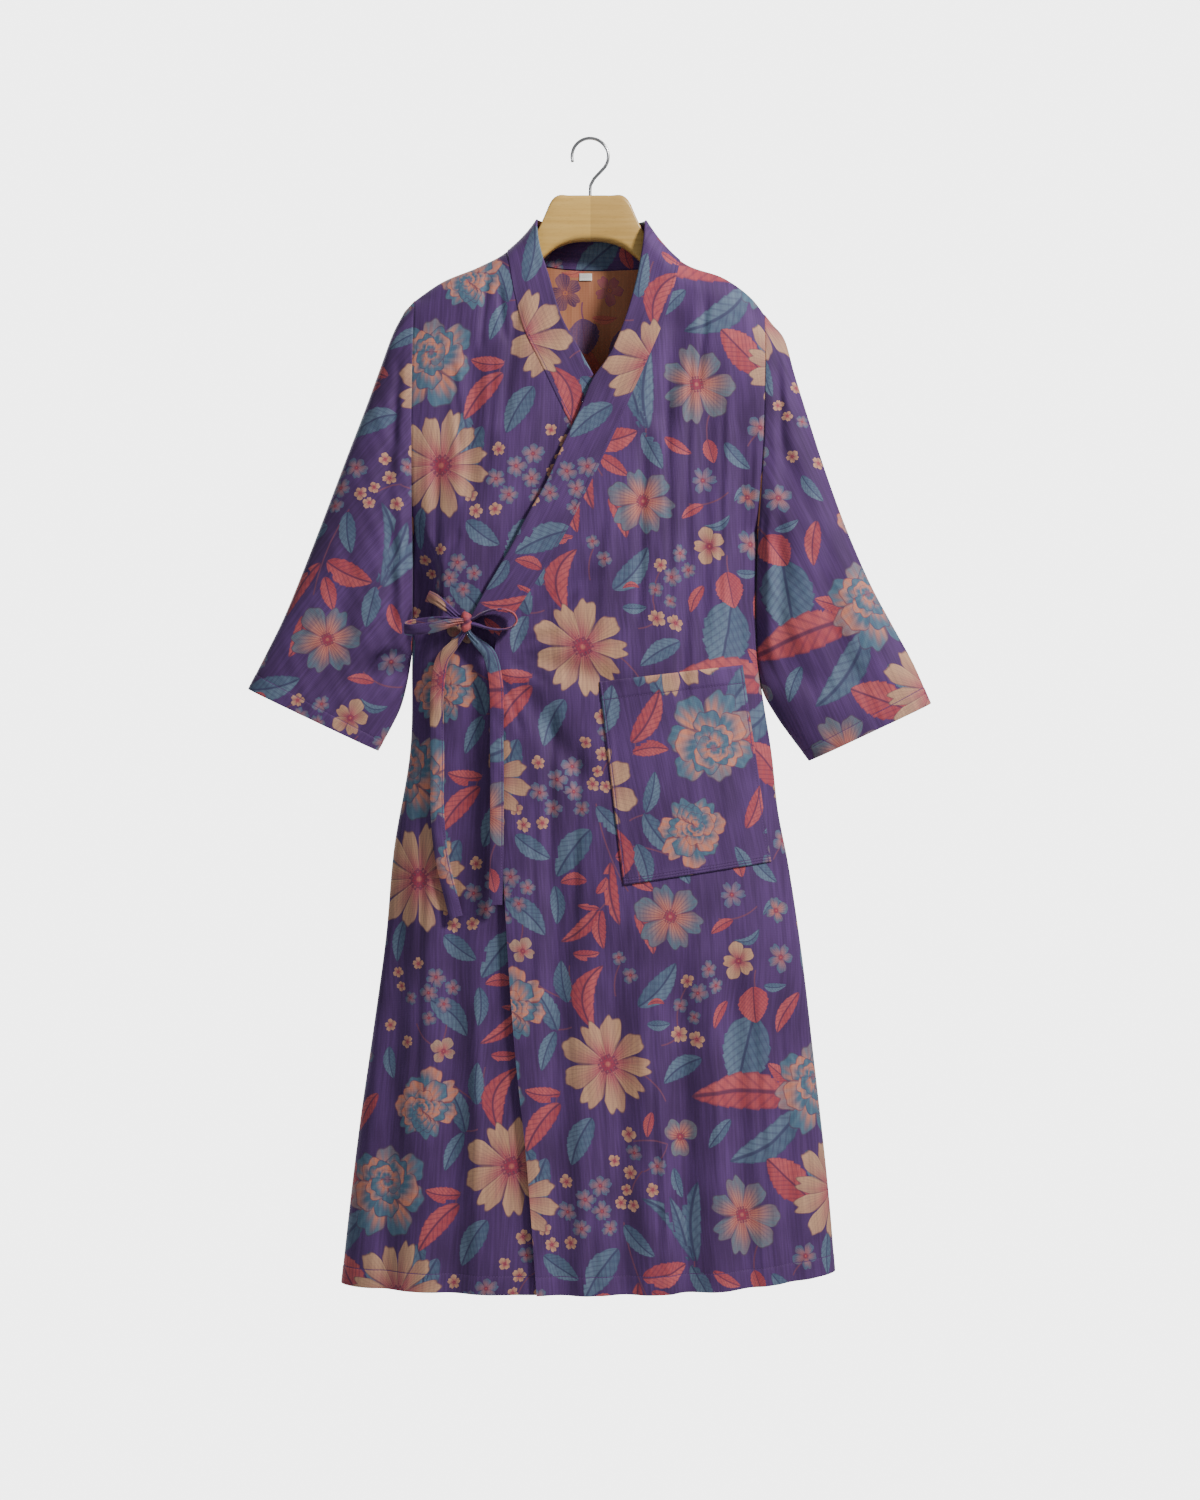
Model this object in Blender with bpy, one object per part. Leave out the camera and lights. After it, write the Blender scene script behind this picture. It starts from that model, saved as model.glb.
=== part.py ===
# Kimono robe tied at its side, on a wooden hanger.
# Sizes and places below are in millimetres. The origin is the inside top of the hanger's hook,
# +X is the photo's right, -Y the robe's front and +Z up.

import math

import bmesh
import bpy
import numpy as np
from mathutils import Vector

MM = 0.001

# Cloth and seams
CLOTH = 2.0
BAND_CLOTH = 3.0
TIE_CLOTH = 1.8
LABEL_CLOTH = 1.0
SEAM = 0.4
CURVED_SEAM = 0.8

# Side seams and armhole seams, seen from the front: height, x
RIGHT_SIDE = [
    (-192, 192), (-304, 191), (-377, 188), (-430, 185), (-567, 184), (-611, 190), (-675, 200),
    (-738, 207), (-795, 218), (-895, 233), (-1007, 246), (-1152, 262), (-1260, 271),
]
LEFT_SIDE = [
    (-177, -193), (-300, -195), (-430, -195), (-571, -196), (-671, -198), (-781, -216),
    (-878, -225), (-975, -238), (-1072, -252), (-1160, -263), (-1260, -274),
]

# How far the front and the back stand from the plane through the side seams: height, front, back
DEPTHS = [
    (-60, 17, 17), (-130, 20, 19), (-200, 25, 23), (-300, 27, 25), (-430, 32, 30), (-530, 36, 34),
    (-700, 46, 40), (-1000, 61, 50), (-1260, 72, 58),
]

# Sections are ellipses below the first height, and that much squarer above the second
ROUND_BELOW = -660
SQUARE_ABOVE = -450
CHEST_SQUARENESS = 3

# Line of the shoulders and, inside x = -90 and 98, of the collar that leans in above them: x, z
SHOULDER_LINE = [
    (-193, -177), (-163, -157), (-120, -139), (-90, -122), (-58, -87), (-44, -58), (0, -40),
    (46, -58), (61, -88), (98, -132), (150, -154), (178, -175), (192, -192),
]
SHOULDER_ROUND = 30
LEFT_NECK_X = -90
RIGHT_NECK_X = 98

# Armholes: the side, height of the top and of the bottom, and half the depth
ARMHOLES = {"left": (-177, -428), "right": (-192, -430)}
ARMHOLE_DEPTH = 20

# Front edges below the collar band: height, distance from the middle
FRONT_EDGE = [(-605, 101), (-855, 91), (-1005, 80), (-1104, 69), (-1270, 56)]
WAIST = -550

# Hem: x, height at the front, height at the back
HEM = [
    (-274, -1256, -1256), (-120, -1257, -1252), (60, -1257, -1250), (160, -1254, -1250),
    (271, -1243, -1243),
]

# Collar band, station by station from the end on the upper front, round the neck, to the hidden
# end: place, x and z of the seam, x and z of the free edge
BAND = [
    ("over", -101, -550, -129, -525),
    ("over", -76, -512, -112, -494),
    ("over", -50, -472, -89, -455),
    ("over", -28, -435, -67, -413),
    ("over", -10, -399, -47, -378),
    ("over", 8, -362, -33, -345),
    ("over", 28, -320, -12, -302),
    ("over", 43, -286, 2, -268),
    ("over", 61, -246, 22, -238),
    ("over", 77, -208, 39, -198),
    ("over", 91, -163, 51, -155),
    ("over", 96, -142, 57, -122),
    ("over", 98, -133.5, 60, -98),
    ("ridge", 98, -132, 61, -88),
    ("back", 95, -132.5, 59, -88),
    ("back", 86, -135, 54, -88),
    ("back", 70, -138, 44, -88),
    ("back", 36, -140, 24, -87),
    ("back", 0, -141, 0, -86),
    ("back", -34, -139, -23, -86),
    ("back", -66, -133, -42, -86),
    ("back", -80, -127, -52, -87),
    ("back", -88, -122.5, -56, -87),
    ("ridge", -90, -122, -58, -87),
    ("under", -89.6, -125, -58, -96),
    ("under", -87, -140, -55, -118),
    ("under", -82, -169, -45, -152),
    ("under", -70, -214, -30, -200),
    ("under", -52, -250, -12, -232),
    ("under", -30, -295, 8, -268),
    ("under", -8, -335, 28, -303),
    ("under", 8, -362, 43, -335),
    ("under", 26, -399, 60, -372),
    ("under", 43, -435, 80, -413),
    ("under", 62, -472, 98, -452),
    ("under", 84, -512, 117, -494),
    ("under", 101, -550, 129, -525),
]
BACK_NECK = [row[1:3] for row in BAND if row[0] in ("back", "ridge")]
BAND_PROUD = 0.8
BAND_STEPS = 2

# The lower front lies this far under the upper one. It starts to sink this far outside the upper
# one's edge, and is down at the second distance
UNDER_INSET = 4.4
INSET_START = 44
INSET_END = 18

# Long soft folds: face, x and z of the upper end, x and z of the lower end, half width, depth
FOLDS = [
    ("front", 98, -178, 78, -340, 13, 3.0),
    ("front", 132, -230, 118, -600, 15, 3.4),
    ("front", 166, -250, 158, -640, 13, 2.6),
    ("front", -125, -210, -132, -420, 13, 3.0),
    ("front", -158, -240, -160, -440, 11, 2.0),
    ("front", -95, -548, 15, -470, 11, 2.2),
    ("front", -92, -566, 40, -600, 13, 2.4),
    ("front", -88, -585, 5, -720, 13, 2.6),
    ("front", -142, -560, -150, -1400, 19, 5.0),
    ("front", -205, -760, -228, -1400, 16, 5.0),
    ("front", -36, -690, -30, -1400, 18, 4.4),
    ("front", 26, -850, 40, -1400, 20, 5.5),
    ("front", 92, -860, 112, -1400, 20, 6.5),
    ("front", 150, -850, 182, -1400, 17, 5.5),
    ("front", 200, -870, 228, -1400, 14, 4.0),
    ("back", -120, -190, -95, -640, 17, 3.4),
    ("back", -40, -170, -28, -560, 16, 2.6),
    ("back", 45, -175, 36, -600, 16, 3.0),
    ("back", 118, -200, 100, -700, 17, 3.4),
    ("back", -150, -420, -175, -1400, 19, 5.5),
    ("back", -78, -600, -92, -1400, 22, 6.5),
    ("back", 4, -520, 0, -1400, 22, 6.0),
    ("back", 82, -640, 96, -1400, 22, 6.5),
    ("back", 150, -470, 182, -1400, 19, 5.5),
]
FOLD_FADE = 0.22

# Where the tie pulls the lower front away from its side seam
PINCH_TOP = -410
PINCH_BOTTOM = -590
PINCH_FADE = 70
PINCH_WIDTH = 24
PINCH_EDGE = 11
PINCH_DEPTH = 0.8

# Sleeve rings: x and z of the outer edge, x and z of the inner edge, half the depth
RIGHT_SLEEVE = [
    (200, -202, 188.6, -441, 21),
    (214, -220, 188.6, -462, 22),
    (225, -258, 188.4, -488, 23),
    (238, -300, 188.2, -514, 24),
    (258, -362, 188.4, -545, 24),
    (282, -428, 191, -577, 24),
    (308, -488, 196, -607, 23.5),
    (332, -533, 207, -634, 23),
    (355, -575, 222, -658, 22.5),
    (375, -620, 241, -683, 22),
]
LEFT_SLEEVE = [
    (-204, -189, -198.6, -440, 21),
    (-217, -214, -199, -460, 22),
    (-231, -252, -199.2, -485, 23),
    (-247, -296, -199.4, -510, 24),
    (-267, -348, -199.6, -538, 24),
    (-289, -406, -200, -568, 24),
    (-313, -468, -202, -598, 23.5),
    (-335, -522, -208, -624, 23),
    (-355, -563, -219, -647, 22.5),
    (-376, -604, -233, -672, 22),
]
SLEEVE_COLUMNS = 18

# Creases across a sleeve: side, ring where it starts and ends, place round the front, depth
SLEEVE_CREASES = [
    ("right", 1.0, 5.5, 0.36, 3.0),
    ("right", 3.0, 9.0, 0.62, 3.2),
    ("right", 5.0, 9.5, 0.40, 2.4),
    ("left", 1.0, 5.0, 0.38, 3.0),
    ("left", 3.0, 9.0, 0.64, 3.2),
    ("left", 5.5, 9.5, 0.42, 2.4),
]
CREASE_WIDTH = 0.09

# Patch pocket: its corners on the upper front, top left, top right, bottom right, bottom left
POCKET_CORNERS = [(10, -597), (167, -578), (198, -793), (36, -817)]
POCKET_LIFT = 0.9
POCKET_PUFF = 2.6
POCKET_ROWS = 10
POCKET_COLUMNS = 9

# Tie: widths, the knot, and how far in front of the robe each part passes
TIE_WIDTH = 15
TIE_AT_KNOT = 7
KNOT_AT = (-134, -532)
KNOT_SIZE = (13, 13, 20)
KNOT_LIFT = 1.0

# Points along the free ends of the tie: x, z, distance from the robe, width
LEFT_TAIL = [
    (-137, -543.5, 7, 6), (-147, -556, 6, 10), (-160, -572, 6, 14), (-165.5, -600, 6, 15),
    (-166, -680, 6, 15), (-165.5, -744, 7, 15), (-161, -785, 8, 15), (-152, -825, 8, 15),
    (-145, -852, 9, 15),
]
RIGHT_TAIL = [
    (-131, -543.7, 7, 6), (-122, -554, 6, 10), (-110, -566, 5, 14), (-103, -590, 4, 15),
    (-101, -660, 4, 15), (-100.5, -740, 4, 15), (-101, -800, 4, 15), (-102, -838, 5, 15),
]

# Loops and strap: x, z, distance in front of the robe's surface at the knot
LEFT_LOOP = [
    (-142, -531, 12.5), (-152, -532, 14), (-168, -535, 16), (-184, -538, 16.5), (-195, -541, 15),
    (-200.5, -542.5, 11), (-195, -543.5, 7), (-184, -542, 5.8), (-168, -539, 6.4), (-152, -535, 7.8),
    (-142, -533, 8.4),
]
RIGHT_LOOP = [
    (-126, -528.5, 8.4), (-118, -524, 10.6), (-106, -519.5, 13.5), (-92, -519, 15.5), (-81.5, -524, 16.5),
    (-79, -531.5, 16.5), (-85, -538.5, 15.8), (-97, -540.5, 14.2), (-112, -538.5, 11.5), (-126, -534.5, 8.4),
]
STRAP = [(-177, -503, -11), (-168, -507, -1), (-155, -517, 3.4), (-142.8, -527, 4.6)]

# Size label inside the back of the neck
LABEL_SIZE = (14, 8)
LABEL_AT = (-5, -147.5)

# Wooden hanger: x, top, bottom, half thickness
HANGER = [
    (0, -62, -111, 10), (22, -62, -113, 9.4), (37, -62.6, -119, 8.8), (44, -70, -124, 8.4),
    (50, -84, -129, 8.2), (58, -100, -136, 8), (74, -118, -146, 7.5), (97, -137, -162, 7),
    (125, -148.7, -174, 6.6), (148, -157.2, -184, 6), (162, -166.4, -190, 5), (170, -173, -189, 3.4),
]
HANGER_SECTION = 12
HANGER_SQUARENESS = 3.2

# Steel hook
WIRE = 3.6
HOOK_RADIUS = 20
HOOK_BOTTOM = -50
SHANK_DEPTH = 14
SHANK_HOLE = 4.4

# Rows and columns of the large walls
PANEL_ROWS_BELOW = 15
CHEST_ROWS = (-514, -482, -454, -436, -425, -410, -382, -344, -302, -260, -220, -184)
RIDGE_ANGLES = (64, 42, 20, 0)
OVER_COLUMNS = 25
UNDER_COLUMNS = 18
BACK_COLUMNS = 27
BACK_NECK_TURNS = (-29.5, -27.5, -24.5, -21.0, 22.0, 26.0, 29.0, 31.0)
HEM_REFERENCE = -1257


# Shared curves

def smooth(t):
    t = np.clip(t, 0.0, 1.0)
    return t * t * (3 - 2 * t)


def spline(table, at, column=1):
    """A smooth curve through the table's rows, read at the places given in its first column."""
    rows = sorted(table)
    x = np.array([row[0] for row in rows], float)
    y = np.array([row[column] for row in rows], float)
    steps = np.diff(y) / np.diff(x)
    slopes = np.concatenate([[steps[0]], (steps[:-1] + steps[1:]) / 2, [steps[-1]]])
    at = np.clip(np.asarray(at, float), x[0], x[-1])
    i = np.clip(np.searchsorted(x, at) - 1, 0, len(x) - 2)
    width = x[i + 1] - x[i]
    t = (at - x[i]) / width
    return (
        y[i] * (1 + 2 * t) * (1 - t) ** 2
        + slopes[i] * width * t * (1 - t) ** 2
        + y[i + 1] * t * t * (3 - 2 * t)
        - slopes[i + 1] * width * t * t * (1 - t)
    )


def resample(points, count):
    """The given number of points, evenly spaced along a smooth curve through the given ones."""
    points = np.array(points, float)
    along = np.concatenate([[0], np.cumsum(np.linalg.norm(np.diff(points, axis=0), axis=1))])
    at = np.linspace(0, along[-1], count)
    columns = [
        spline([(s, v) for s, v in zip(along, points[:, c])], at) for c in range(points.shape[1])
    ]
    return np.stack(columns, axis=-1)


# The robe's surface

def half_width(z):
    left = spline(LEFT_SIDE, z)
    right = spline(RIGHT_SIDE, z)
    return (left + right) / 2, (right - left) / 2


def armhole_depth(x, z):
    """Half the depth of the armhole at a height, 0 above and below it."""
    depth = np.zeros(np.broadcast(x, z).shape)
    for side, (top, bottom) in ARMHOLES.items():
        middle = (top + bottom) / 2
        away = np.abs((z - middle) / (top - middle))
        here = ARMHOLE_DEPTH * np.sqrt(np.clip(1 - away**3, 0, 1))
        depth = np.where((x > 0) == (side == "right"), here, depth)
    return depth


def fold_depth(x, z, face):
    total = np.zeros(np.broadcast(x, z).shape)
    for where, x0, z0, x1, z1, width, depth in FOLDS:
        if where != face:
            continue
        length = math.hypot(x1 - x0, z1 - z0)
        ux, uz = (x1 - x0) / length, (z1 - z0) / length
        along = ((x - x0) * ux + (z - z0) * uz) / length
        across = (x - x0) * uz - (z - z0) * ux
        ends = smooth(along / FOLD_FADE) * smooth((1 - along) / FOLD_FADE)
        total = total + depth * ends * np.exp(-((across / width) ** 2))
    return total


def pinch(x, z, left):
    tall = smooth((PINCH_TOP - z) / PINCH_FADE) * smooth((z - PINCH_BOTTOM) / PINCH_FADE)
    wide = 1 - smooth((x - left - PINCH_WIDTH * tall) / PINCH_EDGE)
    return PINCH_DEPTH * tall * wide


def band_edge(place, column):
    """Heights and x of one edge of the band, on one of the fronts."""
    return [(row[column + 1], row[column]) for row in BAND if row[0] == place]


def inner_edge(place):
    """Where a front ends: down its collar seam, then down its own edge."""
    sign = -1 if place == "over" else 1
    return band_edge(place, 1) + [(z, sign * x) for z, x in FRONT_EDGE]


def under_inset(x, z):
    covered = band_edge("over", 3) + [(WAIST, -103)] + [(z, -x) for z, x in FRONT_EDGE]
    away = spline(covered, z) - x
    return UNDER_INSET * smooth((INSET_START - away) / (INSET_START - INSET_END))


def body(phi, z, place, seam=SEAM):
    """A point of the robe's outside. phi turns from -90 degrees at the left side to 90."""
    middle, half = half_width(z)
    x = middle + half * np.sin(phi)
    face = "back" if place == "back" else "front"
    depth = spline(DEPTHS, z, 2 if face == "back" else 1)
    away = np.clip((spline(SHOULDER_LINE, x) - z) / SHOULDER_ROUND, 0, 1)
    round_over = np.sqrt(1 - (1 - away) ** 2)
    armhole = armhole_depth(x, z)
    squareness = 2 + CHEST_SQUARENESS * smooth((z - ROUND_BELOW) / (SQUARE_ABOVE - ROUND_BELOW))
    toward_side = np.abs(np.sin(phi)) ** squareness
    out = np.sqrt((depth * round_over) ** 2 * (1 - toward_side) + armhole**2 * toward_side)
    out = out - fold_depth(x, z, face) * np.sqrt(np.abs(np.cos(phi))) * round_over
    if face == "front":
        out = out * (1 - pinch(x, z, middle - half))
    if place == "under":
        out = out - under_inset(x, z)
    out = out + seam / 2
    y = out if face == "back" else -out
    return np.stack(np.broadcast_arrays(x, y, z), axis=-1)


def turn_at(x, z):
    middle, half = half_width(z)
    return np.arcsin(np.clip((x - middle) / half, -1, 1))


def body_normal(phi, z, place):
    """Outward direction of the robe's outside."""
    dphi, dz = 0.015, 0.4
    ahead = body(np.minimum(phi + dphi, math.pi / 2), z, place)
    behind = body(np.maximum(phi - dphi, -math.pi / 2), z, place)
    above = body(phi, z + dz, place)
    below = body(phi, z - dz, place)
    normal = np.cross(ahead - behind, above - below)
    if place == "back":
        normal = -normal
    point = body(phi, z, place)
    on_ridge = spline(SHOULDER_LINE, point[..., 0]) - point[..., 2] < 0.05
    normal[..., 1] = np.where(on_ridge, 0, normal[..., 1])
    return normal / np.linalg.norm(normal, axis=-1, keepdims=True)


def inside(outer, phi, z, place):
    """The inner face of a panel, kept on its own side of the seams."""
    inner = outer - CLOTH * body_normal(phi, z, place)
    if place == "back":
        inner[..., 1] = np.maximum(inner[..., 1], SEAM / 2)
    else:
        inner[..., 1] = np.minimum(inner[..., 1], -SEAM / 2)
    return inner


def front_point(x, z, out, place="over"):
    """A point in front of the upper front, by its distance from it."""
    point = body(turn_at(x, z), z, place)
    point[..., 1] -= out
    return point


# Meshes

def new_object(name, bm, material):
    bmesh.ops.recalc_face_normals(bm, faces=bm.faces)
    mesh = bpy.data.meshes.new(name)
    bm.to_mesh(mesh)
    bm.free()
    mesh.materials.append(material)
    mesh.shade_smooth()
    mesh.set_sharp_from_angle(angle=math.radians(40))
    thing = bpy.data.objects.new(name, mesh)
    bpy.context.scene.collection.objects.link(thing)
    return thing


def grid_vertices(bm, points):
    return [[bm.verts.new(Vector(p) * MM) for p in row] for row in points]


def wall(name, outer, inner, material, closed=False):
    """A closed wall of cloth between two grids. A closed one is a tube, open at both ends."""
    bm = bmesh.new()
    skins = [grid_vertices(bm, outer), grid_vertices(bm, inner)]
    rows, columns = outer.shape[:2]
    last = columns if closed else columns - 1
    for skin in skins:
        for r in range(rows - 1):
            for c in range(last):
                d = (c + 1) % columns
                bm.faces.new((skin[r][c], skin[r][d], skin[r + 1][d], skin[r + 1][c]))
    a, b = skins
    for c in range(last):
        d = (c + 1) % columns
        for r in (0, rows - 1):
            bm.faces.new((a[r][c], b[r][c], b[r][d], a[r][d]))
    if not closed:
        for r in range(rows - 1):
            for c in (0, columns - 1):
                bm.faces.new((a[r][c], a[r + 1][c], b[r + 1][c], b[r][c]))
    return new_object(name, bm, material)


def solid_rings(name, rings, material):
    """A solid through closed rings, with both ends filled."""
    bm = bmesh.new()
    made = grid_vertices(bm, rings)
    count = len(made[0])
    for a, b in zip(made, made[1:]):
        for c in range(count):
            d = (c + 1) % count
            bm.faces.new((a[c], a[d], b[d], b[c]))
    bm.faces.new(made[0])
    bm.faces.new(made[-1])
    return new_object(name, bm, material)


def ribbon(name, centre, across, widths, material):
    """A strip of the tie: centre line, direction of its width, and its width at each point."""
    along = np.gradient(centre, axis=0)
    facing = np.cross(along, across)
    facing /= np.linalg.norm(facing, axis=1, keepdims=True)
    across = np.cross(facing, along)
    across /= np.linalg.norm(across, axis=1, keepdims=True)
    half = across * (np.array(widths)[:, None] / 2)
    thick = facing * TIE_CLOTH / 2
    rings = np.stack(
        [centre - half - thick, centre + half - thick, centre + half + thick, centre - half + thick],
        axis=1,
    )
    return solid_rings(name, rings, material)


def material(name, colour, roughness, metallic=0.0):
    made = bpy.data.materials.new(name)
    made.use_nodes = True
    shader = made.node_tree.nodes["Principled BSDF"]
    shader.inputs["Base Color"].default_value = (*colour, 1)
    shader.inputs["Roughness"].default_value = roughness
    shader.inputs["Metallic"].default_value = metallic
    return made


# Body panels

def panel_heights(neck):
    """Heights of a panel's rows, from the hem to the shoulder seam."""
    shoulder = [neck - SHOULDER_ROUND * (1 - math.cos(math.radians(a))) for a in RIDGE_ANGLES]
    below = np.linspace(HEM_REFERENCE, WAIST, PANEL_ROWS_BELOW)
    return np.concatenate([below, CHEST_ROWS, shoulder])


def panel_grid(place, columns, side):
    """Angles and heights of a front's grid, between its inner edge and one side seam."""
    edge = inner_edge(place)
    neck = float(spline(SHOULDER_LINE, RIGHT_NECK_X if side > 0 else LEFT_NECK_X))
    heights = panel_heights(neck)
    u = np.linspace(0, 1, columns)
    reference = np.repeat(heights[:, None], columns, axis=1)
    inner_x = spline(edge, reference)
    far = math.pi / 2 * side
    z = reference.copy()
    for _ in range(6):
        start = turn_at(inner_x, reference)
        phi = start + (far - start) * u[None, :]
        middle, half = half_width(z)
        x = middle + half * np.sin(phi)
        drop = np.minimum(spline(SHOULDER_LINE, x), neck) - neck
        at_top = smooth((reference + 360) / (neck + 360))
        at_hem = 1 - smooth((reference - HEM_REFERENCE) / 320)
        z = reference + drop * at_top + (spline(HEM, x) - HEM_REFERENCE) * at_hem
    return phi, z


def front_panel(name, place, columns, side, cloth):
    phi, z = panel_grid(place, columns, side)
    outer = body(phi, z, place)
    return wall(name, outer, inside(outer, phi, z, place), cloth)


def neck_seam(x):
    """Height of the seam where the collar band joins the back."""
    in_neck = (x > LEFT_NECK_X) & (x < RIGHT_NECK_X)
    return np.where(in_neck, spline(BACK_NECK, x), spline(SHOULDER_LINE, x))


def back_panel(cloth):
    middle_height = float(neck_seam(np.array(0.0)))
    heights = panel_heights(middle_height)
    turn = np.sort(np.concatenate([np.linspace(-90, 90, BACK_COLUMNS), BACK_NECK_TURNS]))
    phi = np.repeat(np.radians(turn)[None, :], len(heights), axis=0)
    reference = np.repeat(heights[:, None], len(turn), axis=1)
    z = reference.copy()
    for _ in range(6):
        middle, half = half_width(z)
        x = middle + half * np.sin(phi)
        drop = neck_seam(x) - middle_height
        at_top = smooth((reference + 360) / (middle_height + 360))
        at_hem = 1 - smooth((reference - HEM_REFERENCE) / 320)
        z = reference + drop * at_top + (spline(HEM, x, 2) - HEM_REFERENCE) * at_hem
    outer = body(phi, z, "back")
    return wall("back", outer, inside(outer, phi, z, "back"), cloth)


# Collar band

def band_stations():
    """The band's rows with more between them, whose seam stays on the panels' edges."""
    stations = []
    for a, b in zip(BAND, BAND[1:]):
        place = b[0] if a[0] == "ridge" else a[0]
        for step in range(BAND_STEPS):
            t = step / BAND_STEPS
            row = [p + (q - p) * t for p, q in zip(a[1:], b[1:])]
            if place == "back":
                row[1] = float(spline(BACK_NECK, row[0]))
            elif step:
                row[0] = float(spline(inner_edge(place), row[1]))
            stations.append((a[0] if not step else place, place, row))
    stations.append((BAND[-1][0], BAND[-1][0], list(BAND[-1][1:])))
    return stations


def collar_band(cloth):
    outer, inner = [], []
    for kind, place, (ax, az, bx, bz) in band_stations():
        first = CURVED_SEAM / math.hypot(bx - ax, bz - az)
        v = np.array([first, 0.5, 1.0])
        x = ax + (bx - ax) * v
        z = az + (bz - az) * v
        ridge = spline(SHOULDER_LINE, x)
        z = ridge if kind == "ridge" else np.minimum(z, ridge)
        phi = turn_at(x, z)
        rise = BAND_PROUD * smooth((v - first) * 8)
        point = body(phi, z, place, seam=0)
        normal = body_normal(phi, z, place)
        under = point + normal * (rise[:, None] - BAND_CLOTH)
        side = {"ridge": 0, "back": 1}.get(kind, -1)
        under[:, 1] = side * np.maximum(side * under[:, 1], SEAM)
        outer.append(point + normal * rise[:, None])
        inner.append(under)
    return wall("collar_band", np.array(outer), np.array(inner), cloth)


# Sleeves

def sleeve(name, side, table, cloth):
    """A tube from the armhole to the cuff. Its first ring follows the armhole's edge."""
    sign = 1 if side == "right" else -1
    top, bottom = ARMHOLES[side]
    angle = np.linspace(0, 2 * math.pi, SLEEVE_COLUMNS, endpoint=False)
    up = np.cos(angle)
    shape = np.sign(np.sin(angle)) * np.sqrt(np.clip(1 - np.abs(up) ** 3, 0, 1))
    z = (top + bottom) / 2 + (top - bottom) / 2 * up
    edge = spline(RIGHT_SIDE if sign > 0 else LEFT_SIDE, z) + sign * CURVED_SEAM
    rings = [np.stack([edge, -ARMHOLE_DEPTH * shape, z], axis=-1)]
    for row in table:
        x = (row[0] + row[2]) / 2 + (row[0] - row[2]) / 2 * up
        z = (row[1] + row[3]) / 2 + (row[1] - row[3]) / 2 * up
        rings.append(np.stack([x, -row[4] * shape, z], axis=-1))
    outer = np.array(rings)
    turn = angle / math.pi
    for r in range(1, len(rings)):
        for where, first, last, place, depth in SLEEVE_CREASES:
            if where == side:
                fade = smooth((r - first) / 1.5) * smooth((last - r) / 1.5)
                near = np.exp(-(((turn - place) / CREASE_WIDTH) ** 2))
                outer[r, :, 1] += depth * fade * near
    around = np.roll(outer, -1, axis=1) - np.roll(outer, 1, axis=1)
    down = np.gradient(outer, axis=0)
    normal = np.cross(around, down) * -sign
    normal /= np.linalg.norm(normal, axis=-1, keepdims=True)
    middle = outer.mean(axis=1, keepdims=True)
    outward = np.sign(((outer - middle) * normal).sum(axis=-1, keepdims=True))
    inner = outer - CLOTH * normal * outward
    inner[0, :, 0] = outer[0, :, 0]
    return wall(name, outer, inner, cloth, closed=True)


# Pocket and label

def pocket(cloth):
    corners = np.array(POCKET_CORNERS, float)
    u = np.linspace(0, 1, POCKET_COLUMNS)[None, :, None]
    v = np.linspace(0, 1, POCKET_ROWS)[:, None, None]
    top = corners[0] + (corners[1] - corners[0]) * u
    bottom = corners[3] + (corners[2] - corners[3]) * u
    flat = top + (bottom - top) * v
    x, z = flat[..., 0], flat[..., 1]
    across = np.sin(np.pi * u[..., 0])
    lift = POCKET_LIFT + POCKET_PUFF * across * smooth((1 - v[..., 0]) * 3)
    inner = front_point(x, z, lift)
    outer = front_point(x, z, lift + CLOTH)
    return wall("pocket", outer, inner, cloth)


def neck_label(cloth):
    width, height = LABEL_SIZE
    x = LABEL_AT[0] + np.linspace(-width / 2, width / 2, 3)[None, :]
    z = LABEL_AT[1] + np.linspace(-height / 2, height / 2, 3)[:, None]
    x, z = np.broadcast_arrays(x, z)
    phi = turn_at(x, z)
    surface = body(phi, z, "back")
    normal = body_normal(phi, z, "back")
    outer = surface - normal * (CLOTH + SEAM)
    inner = outer - normal * LABEL_CLOTH
    return wall("neck_label", outer, inner, cloth)


# Tie

def tie_end(name, table, cloth):
    """A free end of the tie, hanging flat in front of the robe."""
    rows = resample(table, 2 * len(table))
    centre = front_point(rows[:, 0], rows[:, 1], rows[:, 2])
    across = np.tile([1.0, 0.0, 0.0], (len(rows), 1))
    return ribbon(name, centre, across, rows[:, 3], cloth)


def knot_surface():
    """Where the robe's surface is behind the knot."""
    return front_point(np.array(KNOT_AT[0]), np.array(KNOT_AT[1]), 0.0)[1]


def tie_loop(name, table, across, count, cloth):
    rows = resample(table, count)
    centre = np.stack([rows[:, 0], knot_surface() - rows[:, 2], rows[:, 1]], axis=-1)
    t = np.linspace(0, 1, count)
    widths = TIE_AT_KNOT + (TIE_WIDTH - 2 - TIE_AT_KNOT) * smooth(4 * np.minimum(t, 1 - t))
    return ribbon(name, centre, np.tile(across, (count, 1)), widths, cloth)


def tie_strap(cloth):
    rows = resample(STRAP, 8)
    centre = np.stack([rows[:, 0], knot_surface() - rows[:, 2], rows[:, 1]], axis=-1)
    across = np.tile([0.4, 0.0, 1.0], (len(rows), 1))
    widths = np.linspace(TIE_WIDTH - 2, TIE_AT_KNOT, len(rows))
    return ribbon("tie_strap", centre, across, widths, cloth)


def tie_knot(cloth):
    bm = bmesh.new()
    bmesh.ops.create_cube(bm, size=1)
    at = front_point(np.array(KNOT_AT[0]), np.array(KNOT_AT[1]), KNOT_SIZE[1] / 2 + KNOT_LIFT)
    for vertex in bm.verts:
        vertex.co = Vector(c * s + o for c, s, o in zip(vertex.co, KNOT_SIZE, at)) * MM
    bmesh.ops.bevel(
        bm, geom=list(bm.edges), offset=3.4 * MM, segments=3, profile=0.5, affect="EDGES"
    )
    return new_object("tie_knot", bm, cloth)


# Hanger

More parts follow.
